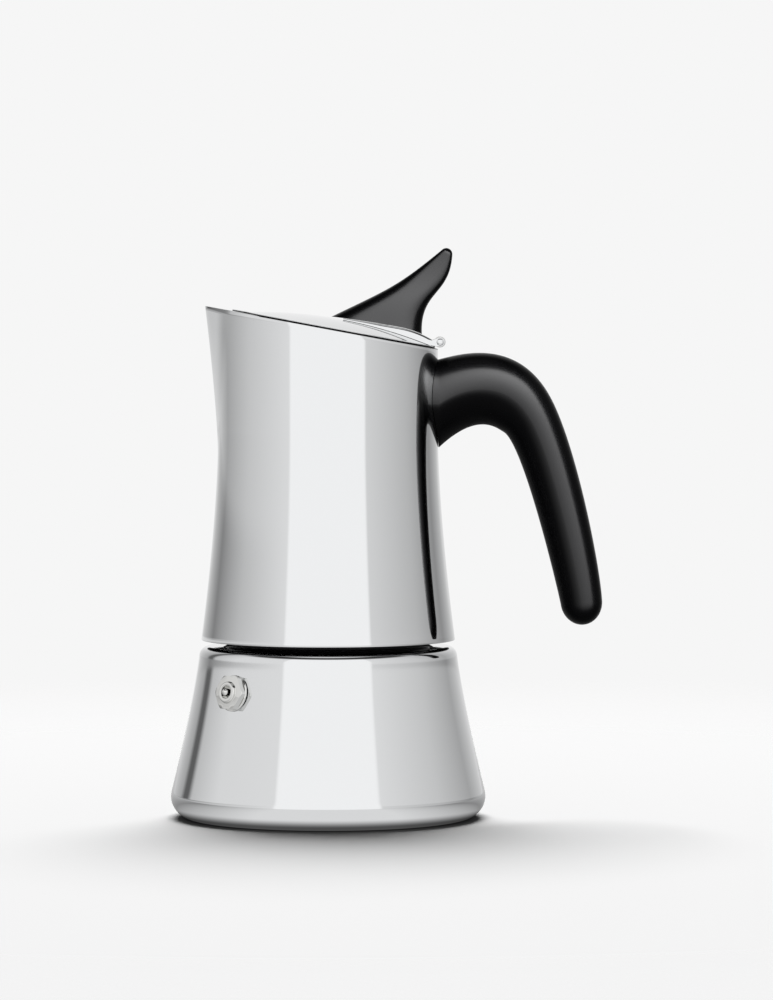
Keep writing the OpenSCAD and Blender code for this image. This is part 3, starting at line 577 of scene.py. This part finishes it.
ridge = add_node(screw, "GeometryNodeCurveToMesh", Curve=upright.outputs[0],
                 Profile_Curve=section.outputs["Curve"], Fill_Caps=True, Scale=full)
lift = add_node(screw, "ShaderNodeCombineXYZ", Z=given.outputs["Start"])
raised = add_node(screw, "GeometryNodeSetPosition", Geometry=ridge.outputs[0], Offset=lift.outputs[0])
end_tree(screw, raised, given)

THREAD_PITCH, THREAD_DEPTH, THREAD_FROM, THREAD_TURNS = 3.0, 0.6, 53.6, 2.8
# painted shade: the thread is made in the dark steel, as the neck shows dark in the gap under the collector
thread = run_tree(screw, "neck_thread", bpy.data.meshes.new("neck_thread"),
                  {"Radius": NECK_R * MM, "Pitch": THREAD_PITCH * MM, "Turns": THREAD_TURNS,
                   "Depth": THREAD_DEPTH * MM, "Start": THREAD_FROM * MM, "Material": shade_painted_steel})
finish(thread, "boiler")
# painted shade: a dark sleeve over the neck, where there is only the shade of the gap between collector and
# shoulder
SLEEVE_R, SLEEVE_INNER, SLEEVE_FROM, SLEEVE_TO = NECK_R + 0.05, NECK_R - 0.4, 52.0, NECK_TOP - 0.5
shade_sleeve = turned("neck_shade_sleeve", [(SLEEVE_INNER, SLEEVE_FROM), (SLEEVE_R, SLEEVE_FROM), (SLEEVE_R, SLEEVE_TO),
                                (SLEEVE_INNER, SLEEVE_TO), (SLEEVE_INNER, SLEEVE_FROM)], shade_painted_steel, 192)
finish(shade_sleeve, "boiler")

# %% [markdown]
# Two sieves hold the coffee: one in the funnel and one under the collector. A third tree makes both. It
# places a point for each hole, ring by ring round a middle one, puts a drill on every point, and takes
# the drills out of a disc. Ring k holds six k holes, so a hole's number alone gives its ring and angle.

# %% The sieves
sieve, given = tree_for("sieve", {"Radius": "Float", "Thickness": "Float", "Hole Radius": "Float",
                                  "Pitch": "Float", "Rings": "Int", "Start": "Float"})
rings, pitch, thickness = (given.outputs[k] for k in ("Rings", "Pitch", "Thickness"))
pairs = reckon(sieve, "MULTIPLY", rings, reckon(sieve, "ADD", rings, 1.0))
count = reckon(sieve, "MULTIPLY_ADD", pairs, 3.0, 1.0)
number = add_node(sieve, "GeometryNodeInputIndex").outputs[0]
root = reckon(sieve, "SQRT", reckon(sieve, "ADD", reckon(sieve, "MULTIPLY", number, 12.0), 9.0))
ring = reckon(sieve, "CEIL", reckon(sieve, "DIVIDE", reckon(sieve, "SUBTRACT", root, 3.001), 6.0))
before = reckon(sieve, "MULTIPLY", reckon(sieve, "MULTIPLY", ring, 3.0),
                reckon(sieve, "SUBTRACT", ring, 1.0))
in_ring = reckon(sieve, "SUBTRACT", reckon(sieve, "SUBTRACT", number, 1.0), before)
step = reckon(sieve, "DIVIDE", math.tau / 6, reckon(sieve, "MAXIMUM", ring, 1.0))
angle = reckon(sieve, "MULTIPLY", in_ring, step)
away = reckon(sieve, "MULTIPLY", ring, pitch)
place = add_node(sieve, "ShaderNodeCombineXYZ",
                 X=reckon(sieve, "MULTIPLY", away, reckon(sieve, "COSINE", angle)),
                 Y=reckon(sieve, "MULTIPLY", away, reckon(sieve, "SINE", angle)))
points = add_node(sieve, "GeometryNodePoints", Count=count, Position=place.outputs[0])
drill = add_node(sieve, "GeometryNodeMeshCylinder", Vertices=24, Radius=given.outputs["Hole Radius"],
                 Depth=reckon(sieve, "MULTIPLY", thickness, 3.0))
drills = add_node(sieve, "GeometryNodeInstanceOnPoints", Points=points.outputs[0],
                  Instance=drill.outputs["Mesh"])
real = add_node(sieve, "GeometryNodeRealizeInstances", Geometry=drills.outputs[0])
disc = add_node(sieve, "GeometryNodeMeshCylinder", Vertices=128, Radius=given.outputs["Radius"],
                Depth=thickness)
bored = add_node(sieve, "GeometryNodeMeshBoolean", {"operation": "DIFFERENCE", "solver": "EXACT"},
                 i0=disc.outputs["Mesh"], i1=real.outputs[0])
middle = add_node(sieve, "ShaderNodeCombineXYZ",
                  Z=reckon(sieve, "MULTIPLY_ADD", thickness, 0.5, given.outputs["Start"]))
raised = add_node(sieve, "GeometryNodeSetPosition", Geometry=bored.outputs[0], Offset=middle.outputs[0])
end_tree(sieve, raised, given)

HOLE_R, HOLE_PITCH, HOLE_RINGS = 0.75, 4.4, 5
for node, name, body in (("filter_plate", "filter_sieve", "filter_plate"),
                         ("funnel_strainer", "funnel_sieve", "funnel")):
    low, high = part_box(node)
    plate = run_tree(sieve, name, bpy.data.meshes.new(name),
                     {"Radius": high[0], "Thickness": high[2] - low[2], "Hole Radius": HOLE_R * MM,
                      "Pitch": HOLE_PITCH * MM, "Rings": HOLE_RINGS, "Start": low[2],
                      "Material": satin_steel})
    finish(plate, body, [node], 30)

# %% [markdown]
# The safety valve sits in the boiler's wall. Its hexagon has the turned chamfer of a real nut, so the
# outline of each ring is either round or the smaller of hexagon and cone. One loop of such rings goes
# over the outside, down the recess round the pin and back through the chamber inside.

# %% The safety valve
VALVE_Z, VALVE_TURN, HEX_FLATS, HEX_TOP = 39.4, math.radians(227), 9.7, 2.6
SHANK_R, SHANK_L, BOSS_R, BOSS_TOP = 3.5, 8.5, 3.15, 3.5
RECESS_R, BORE_R, CHAMBER_R, PIN_TIP_R = 1.9, 1.15, 2.5, 1.1
RECESS_Z, CHAMBER_Z, COLLAR = 1.1, -1.3, 0.7
VALVE_FRAME = (Matrix.Rotation(VALVE_TURN, 4, "Z") @ Matrix.Translation((wall_r(VALVE_Z), 0, VALVE_Z))
               @ Matrix.Rotation(math.radians(90 - wall_lean(VALVE_Z)), 4, "Y"))
FACE_R, CHAMFER = HEX_FLATS / 2 + 0.1, math.tan(math.radians(30))


def hexagon_r(angle):
    """Distance from the middle to a hexagon's side, its corners a little rounded."""
    away = abs((angle + math.pi / 6) % (math.pi / 3) - math.pi / 6)
    return min(HEX_FLATS / 2 / math.cos(away), HEX_FLATS / math.sqrt(3) - 0.12)


def hexagon_ring(inset, z):
    return lambda a: (hexagon_r(a) - inset, z)


def round_ring(r, z):
    return lambda a: (r, z)


def chamfer_ring(angle):
    return hexagon_r(angle), HEX_TOP - max(0.02, (hexagon_r(angle) - FACE_R) * CHAMFER)


loop = ([round_ring(SHANK_R, -SHANK_L), round_ring(SHANK_R, COLLAR), hexagon_ring(0.15, COLLAR),
         hexagon_ring(0, COLLAR + 0.15), chamfer_ring, lambda a: (min(hexagon_r(a), FACE_R) - 0.06, HEX_TOP)]
        + [round_ring(r, z) for r, z in arc(BOSS_R + 0.2, HEX_TOP + 0.2, 0.2, 270, 180, 4)
           + arc(BOSS_R - 0.45, BOSS_TOP - 0.45, 0.45, 0, 90, 6)
           + arc(RECESS_R + 0.15, BOSS_TOP - 0.15, 0.15, 90, 180, 3)]
        + [round_ring(RECESS_R, RECESS_Z), round_ring(BORE_R, RECESS_Z), round_ring(BORE_R, CHAMBER_Z),
           round_ring(CHAMBER_R, CHAMBER_Z), round_ring(CHAMBER_R, -SHANK_L)])
AROUND = 180
turns = [math.tau * j / AROUND for j in range(AROUND)]
points = [(r * math.cos(a), r * math.sin(a), z) for ring in loop for a in turns for r, z in [ring(a)]]
valve = mesh_piece("valve_hexagon", points, skin_faces(len(loop), AROUND, closed=True), nickel, VALVE_FRAME)
finish(valve, "boiler", ["valve_body"], 30)
WASHER_R, INNER = HEX_FLATS / 2 + 0.5, SHANK_R + 0.02
washer = turned("valve_ring", [(INNER, 0.02), (WASHER_R - 0.1, 0.02), (WASHER_R, 0.12), (WASHER_R, 0.5),
                               (WASHER_R - 0.2, 0.68), (INNER, 0.68), (INNER, 0.02)], nickel, 96, VALVE_FRAME)
finish(washer, "boiler", ["valve_washer"], 30)
tip = [(0, -6.6), (2.1, -6.6), (2.1, -5.1), (PIN_TIP_R, -5.1)] + arc(0, 4.7 - PIN_TIP_R, PIN_TIP_R, 0, 90, 12)
pin = turned("valve_tip", tip, nickel, 48, VALVE_FRAME)
finish(pin, "valve_pin", ["valve_pin"])

# %% [markdown]
# The collector is drawn from round tube and then pressed over a former at the top, which pulls the front
# out into a pointed spout. Seen from above, a section is the round wall with two tangents that meet in
# a softly rounded ridge. The ridge stands out further the higher it is, and a slanted cut makes the rim.

# %% The collector's wall
SPOUT_REACH, SPOUT_H, SPOUT_POWER = 3.75, 45.6, 1.4
FOOT_FLARE, FLARE_H, FLARE_POWER = 5.15, 61.5, 1.6
SHADED_RIM_X, SHADED_WALL_Z = -20, 64.5         # painted shade: the rim from behind the spout to the hinge, under the lid's edge, and the inner wall below the floor, round the neck
TIP_Z = RIM_Z + (COLLECTOR_R + SPOUT_REACH) * math.tan(RIM_SLOPE)


def collector_wall_r(z):
    return COLLECTOR_R + FOOT_FLARE * max(0, 1 - (z - FOOT_Z) / FLARE_H) ** FLARE_POWER


def rim_height(x):
    return RIM_Z - x * math.tan(RIM_SLOPE)


def collector_r(degrees, z):
    """Radius of the wall at an angle from the spout, the same on both sides."""
    r = collector_wall_r(z)
    opening = math.acos(r / (r + SPOUT_REACH * max(0, 1 - (TIP_Z - z) / SPOUT_H) ** SPOUT_POWER))
    away = math.hypot(math.radians(degrees), 0.05) - 0.05
    left = opening - away
    return r / math.cos((left + math.hypot(left, 0.12 * math.degrees(opening) / 26)) / 2)


def collector_point(degrees, share, inset, drop=0.0, lift=0.0):
    z = TIP_Z
    for _ in range(5):
        z = rim_height(-(collector_r(degrees, z) - inset) * math.cos(math.radians(degrees)))
    z = mix(FOOT_Z + lift, z - drop, share)
    r = collector_r(degrees, z) - inset
    return -r * math.cos(math.radians(degrees)), -r * math.sin(math.radians(degrees)), z


COLUMNS, ROWS = 288, 72
turns = [-1 + 2 * j / COLUMNS for j in range(COLUMNS)]
angles = [180 * signed_power(u, 1.35) for u in turns]
# inset and rounding of a cut edge
EDGE = [(0, 0.2), (0.06, 0.06), (0.2, 0), (0.6, 0), (0.74, 0.06), (SHEET, 0.2)]
rows = ([(i / ROWS, 0, 0.2, 0.2) for i in range(ROWS + 1)]
        + [(1, inset, drop, 0) for inset, drop in EDGE[1:-1]]
        + [(1 - i / ROWS, SHEET, 0.2, 0.2) for i in range(ROWS + 1)]
        + [(0, inset, 0, drop) for inset, drop in EDGE[-2:0:-1]])
points = [collector_point(a, share, inset, drop, lift) for share, inset, drop, lift in rows for a in angles]
collector = mesh_piece("collector_shell", points, skin_faces(len(rows), COLUMNS, closed=True), polished_steel)
# painted shade: dark steel on the rim under the lid's edge and on the inner wall round the neck
paint_shade_dark(collector, lambda p: p.z > rim_height(p.x) - 0.2 and p.x > SHADED_RIM_X
                 or p.z < SHADED_WALL_Z and math.hypot(p.x, p.y) < collector_wall_r(p.z) - 0.3)
finish(collector, "collector", ["collector"], 50)

# %% [markdown]
# The lid is a shallow dome pressed in thin sheet, with a flat margin that follows the rim and stops short of
# the spout. Rays from the dome's centre find the outline, and rings between centre and outline give the
# surface. At the back it is cut away for the hinge.

# %% The lid
LID_T, LID_GAP, DOME_RISE, DOME_R, DOME_X = 0.5, 0.05, 3.0, 28.0, 4.0
DOME_SPHERE = (DOME_R ** 2 + DOME_RISE ** 2) / (2 * DOME_RISE)
NOTCH_X, NOTCH_Y = 30.75, 7.7


def dome(u):
    """Height of the lid's top over its margin, with a soft bend where the dome starts."""
    rise = math.sqrt(DOME_SPHERE ** 2 - u * u) - DOME_SPHERE + DOME_RISE
    return (rise + math.hypot(rise, 0.12)) / 2


def dome_top(x, y):
    return dome(math.hypot(x - DOME_X, y)) + LID_T + LID_GAP


def on_lid(u, v):
    x, y, _ = RIM_FRAME @ Vector((u, v, LID_T))
    inside_rim = math.hypot(x, y) < COLLECTOR_R - 0.1 and math.hypot(x - 14.6, y) < 43.2
    return inside_rim and not (x > NOTCH_X and abs(y) < NOTCH_Y)


def lid_reach(angle):
    low, high = 20.0, 36.0
    for _ in range(30):
        middle = (low + high) / 2
        if on_lid(DOME_X + middle * math.cos(angle), middle * math.sin(angle)):
            low = middle
        else:
            high = middle
    return low


LID_COLUMNS, LID_ROWS = 256, 40
corner = math.atan2(NOTCH_Y, 26.9)
lid_angles = sorted([math.tau * j / LID_COLUMNS for j in range(LID_COLUMNS)]
                    + [s * (corner + d) % math.tau for s in (-1, 1) for d in (-0.002, 0.002)])
reaches = [lid_reach(a) for a in lid_angles]
shares = [math.sin(i / LID_ROWS * math.pi / 2) for i in range(LID_ROWS + 1)]
skin = ([(s, 0.1, 0) for s in shares] + [(1, 0.02, 0.06), (1, 0, 0.18), (1, 0, 0.36), (1, 0.06, LID_T)]
        + [(s, 0.2, LID_T) for s in shares[::-1]])
points = []
for s, inset, down in skin:
    for a, far in zip(lid_angles, reaches):
        r = s * (far - inset)
        u, v = DOME_X + r * math.cos(a), r * math.sin(a)
        points.append((u, v, dome_top(u, v) - down))
lid = mesh_piece("lid_sheet", points, skin_faces(len(skin), len(lid_angles)), polished_steel, RIM_FRAME)


def in_lid_edge_shade(p):
    p = RIM_FRAME.inverted() @ p
    return p.z < 0.4 and not on_lid(DOME_X + (p.x - DOME_X) * 1.03, p.y * 1.03)


# painted shade: the lid's lower edge and the margin of its underside in dark steel, as a dark line of shade
# over the rim
paint_shade_dark(lid, in_lid_edge_shade)
finish(lid, "lid", ["lid"], 40)

# %% [markdown]
# A channel of folded sheet runs from the knob to the hinge and stiffens the lid. Its section is a U turned
# over, with rounded corners, carried along the lid's own curve. Each flange grows into an ear for the pin.

# %% The lid's channel and its ears
STRAP_W, STRAP_T, STRAP_FROM, STRAP_TO, STRAP_PEAK = 17.0, 0.8, 4.0, 31.05, 21.0
HINGE_X, HINGE_RISE, PIN_R = 33.5, 2.2, 0.8
HINGE_Z = rim_height(HINGE_X) + HINGE_RISE
PIN = RIM_FRAME.inverted() @ Vector((HINGE_X, 0, HINGE_Z))
EAR_R = PIN_R + 0.6


def strap_z(x):
    """Height of the channel's top over the rim: a slow rise, and a quick bend down to the hinge."""
    return DOME_RISE + LID_T + 0.8 - (x - STRAP_PEAK) ** 2 / (660 if x < STRAP_PEAK else 56)


def strap_section(x):
    """A closed outline across the channel, as (y, height) pairs."""
    half, top = STRAP_W / 2, strap_z(x)
    low = max(LID_T + LID_GAP, dome_top(x, half - STRAP_T)) + 0.05
    under = max(top - STRAP_T, dome_top(x, 0) + 0.05, low + 0.02)
    bend = min(1.1, (top - low) * 0.8)
    right = [(half, low)] + arc(half - bend, top - bend, bend, 0, 90, 8)
    return right + [(-y, z) for y, z in right[::-1]] + [(-half + STRAP_T, low), (-half + STRAP_T, under),
                                                        (half - STRAP_T, under), (half - STRAP_T, low)]


stations = [mix(STRAP_FROM, STRAP_TO, i / 48) for i in range(49)]
sections = [strap_section(x) for x in stations]
points = [(x, y, z) for x, section in zip(stations, sections) for y, z in section]
strap = mesh_piece("lid_channel", points, skin_faces(len(stations), len(sections[0])), polished_steel,
                   RIM_FRAME)
finish(strap, "lid", ["lid_strap"], 40)

front = 28.0
low = dome_top(front, STRAP_W / 2) + 0.05
ear_outline = ([(front, low + 0.1), (front, strap_z(front) - 0.9), (STRAP_TO, strap_z(STRAP_TO) - 0.35)]
               + arc(PIN.x, PIN.z, EAR_R, 98, -58, 24) + [(PIN.x - 0.6, 0.68), (STRAP_TO, 0.66)])
for side, name in ((1, "rear"), (-1, "front")):
    outer, inner = side * STRAP_W / 2, side * (STRAP_W / 2 - STRAP_T)
    layers = [(inner, 0.0), (mix(inner, outer, 0.85), 0.0), (outer - side * 0.01, 0.1)]
    middle = Vector((mix(front, PIN.x, 0.6), 1.9))
    points = [(x + (middle.x - x) * shrink / 3, y, z + (middle.y - z) * shrink / 3)
              for y, shrink in layers for x, z in ear_outline]
    ear = mesh_piece(f"lid_ear_{name}", points, skin_faces(len(layers), len(ear_outline)), polished_steel,
                     RIM_FRAME)
    finish(ear, "lid", [], 40)

# %% [markdown]
# The hinge's pin is a headed steel rivet. Its domed heads are what shows, a bright dot beside the strap.

# %% The hinge's pin
pin_frame = Matrix.Translation((HINGE_X, 0, HINGE_Z)) @ Matrix.Rotation(math.radians(90), 4, "X")
half = STRAP_W / 2 + 0.05
head = arc(0, half, 1.1, 0, 90, 10)
head = [(r, half + (z - half) * 0.5) for r, z in head]
pin_outline = ([(0, -half - 0.55)] + [(r, -z) for r, z in head[-2::-1]]
               + [(PIN_R, -half), (PIN_R, half)] + head)
rivet = turned("hinge_rivet", pin_outline, polished_steel, 48, pin_frame)
finish(rivet, "collector", ["hinge_pin"])

# %% [markdown]
# The knob is a horn moulded in black nylon. Two curves give its front and its back from the side, and
# each section between them is a rounded rectangle that narrows toward the tip. The last rings close the
# tip as part of a ball, and a block shaped like the channel's top trims the foot, so the horn sits flush.

# %% The horn
KNOB_L, KNOB_H, KNOB_W, KNOB_TIP_W, KNOB_FROM, CAP_TURN = 27.6, 19.2, 15, 3.9, 0.35, 24
KNOB_SIDES, KNOB_RINGS, KNOB_CAP = 96, 56, 14


def knob_seat(x):
    return RIM_FRAME @ Vector((x, 0, strap_z(x) + 0.05))


def on_knob(*places):
    return [knob_front + Vector((along * KNOB_L, up * KNOB_H)) for along, up in places]


knob_front, knob_back = (knob_seat(x).xz for x in (KNOB_FROM, KNOB_FROM + KNOB_L))
front_curve = [knob_front] + on_knob((0.614, 0.429), (0.706, 0.457), (1.204, 1.048))
back_curve = [knob_back] + on_knob((0.96, 0.409), (1.287, 0.315), (1.312, 0.969))


def horn_ring(front, back, half_width, turn=CAP_TURN):
    """One ring of the horn; beyond the horn's end, turn goes from CAP_TURN to nearly 90 at the tip's top."""
    middle, along, start = (front + back) / 2, (back - front) / 2, math.radians(CAP_TURN)
    shrink = math.cos(math.radians(turn)) / math.cos(start)
    up = Vector((-along.y, along.x)) * (math.sin(math.radians(turn)) - math.sin(start)) / math.cos(start)
    ring = []
    for j in range(KNOB_SIDES):
        a = math.tau * j / KNOB_SIDES
        p = middle + along * signed_power(math.cos(a), 2 / 3) * shrink + up
        ring.append((p.x, half_width * signed_power(math.sin(a), 2 / 3) * shrink, p.y))
    return ring


rings = []
for i in range(KNOB_RINGS + 1):
    t = i / KNOB_RINGS
    half_width = mix(KNOB_W, KNOB_TIP_W, t ** 0.9) / 2
    rings.append(horn_ring(bezier(front_curve, t), bezier(back_curve, t), half_width))
rings += [horn_ring(front_curve[3], back_curve[3], KNOB_TIP_W / 2, mix(CAP_TURN, 89, i / KNOB_CAP))
          for i in range(1, KNOB_CAP + 1)]
horn = mesh_piece("horn_knob", [p for ring in rings for p in ring], skin_faces(len(rings), KNOB_SIDES),
                  black_nylon)

seats = [knob_seat(mix(-9, KNOB_L + 9, i / 64)) for i in range(65)]
section = [(p.x, p.z) for p in seats] + [(seats[-1].x, 130), (seats[0].x, 130)]
foot_room = mesh_piece("foot_room", [(x, y, z) for y in (-10, 10) for x, z in section],
                       skin_faces(2, len(section)), black_nylon)
cut_away(horn, foot_room)
finish(horn, "lid", ["knob"], 50)

# %% [markdown]
# The handle is a hook of the same nylon. Its outer and its inner outline are two curves each, and a ring
# lies between them wherever both have the same share of their length. A ring is rounder on its outer side
# and drawn to a soft ridge on its inner side. The first ones start inside the collector, and a turned block
# cuts them to the wall, so the root hugs the steel with a hair's gap. A plug of the same nylon closes the
# recess under the screw that holds the handle.

# %% The handle
HANDLE_SIDES, HANDLE_RINGS, HANDLE_CAP, HANDLE_LEAD = 96, 56, 16, 9
ROOT_GAP, SCREW_X, SCREW_HEAD_H, RECESS_IN_HANDLE_R, BORE_FROM = 0.1, 44.95, 1.8, 3.4, 90
HANDLE_REACH, HANDLE_FALL, HANDLE_ROOT_W, HANDLE_TIP_W, TIP_ROUND = 43.2, 59.9, 22, 14, 1.13
ROOT = Vector((COLLECTOR_R, rim_height(COLLECTOR_R) - 16.5))


def on_handle(*places):
    return [ROOT + Vector((out * HANDLE_REACH, up * HANDLE_FALL)) for out, up in places]


OUTER = [on_handle((0, 0.223), (0.124, 0.243), (0.54, 0.348), (0.777, 0.039)),
         on_handle((0.777, 0.039), (0.952, -0.188), (1.119, -0.777), (1.14, -0.976))]
INNER = [on_handle((0.009, -0.216), (0.276, -0.036), (0.405, -0.119), (0.455, -0.14)),
         on_handle((0.455, -0.14), (0.584, -0.193), (0.808, -0.854), (0.852, -1.001))]


def handle_ring(outer, inner, share, shrink=1.0):
    """A ring between two points of the outlines, at a share of the handle's length."""
    middle, along, ring = (outer + inner) / 2, (outer - inner) / 2, []
    half_width = mix(HANDLE_ROOT_W, HANDLE_TIP_W, share) / 2
    for j in range(HANDLE_SIDES):
        a = math.tau * j / HANDLE_SIDES
        power = 2 / (2.3 if math.sin(a) > 0 else mix(1.3, 1.8, share))
        p = middle + along * signed_power(math.sin(a), power) * shrink
        ring.append((p.x, half_width * signed_power(math.cos(a), power) * shrink, p.y))
    return ring


lead = Vector((HANDLE_LEAD, 0))
rings = [handle_ring(OUTER[0][0] - lead, INNER[0][0] - lead, 0)]
for k in (0, 1):
    for i in range(k, HANDLE_RINGS + 1):
        t = i / HANDLE_RINGS
        rings.append(handle_ring(bezier(OUTER[k], t), bezier(INNER[k], t), (k + t) / 2))
outer, inner = OUTER[1][3], INNER[1][3]
onward = Vector((outer.y - inner.y, inner.x - outer.x)) / 2 * TIP_ROUND
for i in range(1, HANDLE_CAP + 1):
    a = math.radians(89 * i / HANDLE_CAP)
    rings.append(handle_ring(outer + onward * math.sin(a), inner + onward * math.sin(a), 1, math.cos(a)))
handle = mesh_piece("hook_handle", [p for ring in rings for p in ring],
                    skin_faces(len(rings), HANDLE_SIDES), black_nylon)

room_wall = [(collector_wall_r(z) + ROOT_GAP, z) for z in (mix(95, 165, i / 40) for i in range(41))]
room = turned("room", [(0, 95)] + room_wall + [(0, 165)], black_nylon, 256)
screw_place = Matrix.Translation((SCREW_X, 0, 0))
screw_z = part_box("handle_screw")[0][2] / MM


def screw_bore(name, r, top):
    """A cutter round the screw's axis, from under the handle up to a height."""
    return turned(name, [(0, BORE_FROM), (r, BORE_FROM), (r, top), (0, top)], black_nylon, 48, screw_place)


screw_room = screw_bore("screw_room", RECESS_IN_HANDLE_R, screw_z + SCREW_HEAD_H)
cut_away(handle, room)
plug = to_scene("handle_plug", handle.data.copy())
below = screw_bore("below", RECESS_IN_HANDLE_R - 0.1, screw_z - 0.05)
cut_away(plug, below, operation="INTERSECT")
finish(plug, "collector", (), 50)
cut_away(handle, screw_room)
finish(handle, "collector", ["handle"], 50)

# %% [markdown]
# Black nylon would sink into one dark shape in an even tent. A wide light from the front, linked to the horn
# and the handle alone, lays a long grey highlight along them and leaves the steel as it is. The horn and its
# screw stay out of the steel's mirror, so the lid's dome under them reads bright.

# %% A light for the black pieces
black_pieces = bpy.data.collections.new("black pieces")
for piece in (horn, handle):
    black_pieces.objects.link(piece)
FRONT_AWAY, FRONT_LEVEL = 2.0, 75                      # metres; its strength
FRONT_SIDE, FRONT_LOW, FRONT_HIGH = 58, -45, 56        # degrees to the sides, down and up
low_edge, high_edge = (FRONT_AWAY * math.tan(math.radians(a)) for a in (FRONT_LOW, FRONT_HIGH))
lamp_data = bpy.data.lights.new("front light", "AREA")
lamp_data.shape = "RECTANGLE"
lamp_data.size = 2 * FRONT_AWAY * math.tan(math.radians(FRONT_SIDE))
lamp_data.size_y = high_edge - low_edge
lamp_data.energy = FRONT_LEVEL * math.pi * lamp_data.size * lamp_data.size_y
lamp_data.use_nodes = True
tree = lamp_data.node_tree
tree.nodes.clear()
over_lamp = add_node(tree, "ShaderNodeNewGeometry").outputs["Parametric"]
place = add_node(tree, "ShaderNodeSeparateXYZ", Vector=over_lamp)
sideways = level_steps(tree, place.outputs["X"], [(0, 0.0), (0.35, 0.35), (0.62, 1.0), (1, 1.0)])
upward = level_steps(tree, place.outputs["Y"], [(0, 0.0), (0.4, 0.35), (0.6, 0.9), (0.75, 1.15), (1, 1.3)])
glow = add_node(tree, "ShaderNodeEmission", Strength=reckon(tree, "MULTIPLY", sideways, upward))
add_node(tree, "ShaderNodeOutputLight", Surface=glow.outputs[0])
lamp = to_scene("front light", lamp_data)
lamp.location = (AIM.x, -FRONT_AWAY, AIM.z + (low_edge + high_edge) / 2)
lamp.rotation_euler = (math.radians(90), 0, 0)
lamp.light_linking.receiver_collection = black_pieces
lamp.light_linking.blocker_collection = black_pieces
lamp.visible_diffuse = False
for hidden in (horn, frame["nodes"]["knob_screw"], frame["nodes"]["knob_washer"]):
    hidden.visible_glossy = False
print("front light:", round(lamp_data.size, 2), "by", round(lamp_data.size_y, 2), "m")

# %% [markdown]
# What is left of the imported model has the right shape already: the insides, the valve's works and the
# screws. Those solids keep their meshes and get the finish that the real parts have.

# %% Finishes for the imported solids
FINISHES = {"satin_steel": satin_steel, "polished_steel": polished_steel, "brushed_aluminium": aluminium,
            "plated_brass": nickel, "silicone": silicone, "black_plastic": black_nylon}
for part in frame["record"]["subparts"]:
    node = frame["nodes"][part["node"]]
    node.data.materials.clear()
    node.data.materials.append(FINISHES[part["material_slot"]])
# painted shade: the lower part of the collector's base in dark steel, the shade in the gap round the neck
paint_shade_dark(frame["nodes"]["collector_base"], lambda p: p.z < SHADED_WALL_Z - 0.1)
print("dressed", len(frame["nodes"]), "solids")
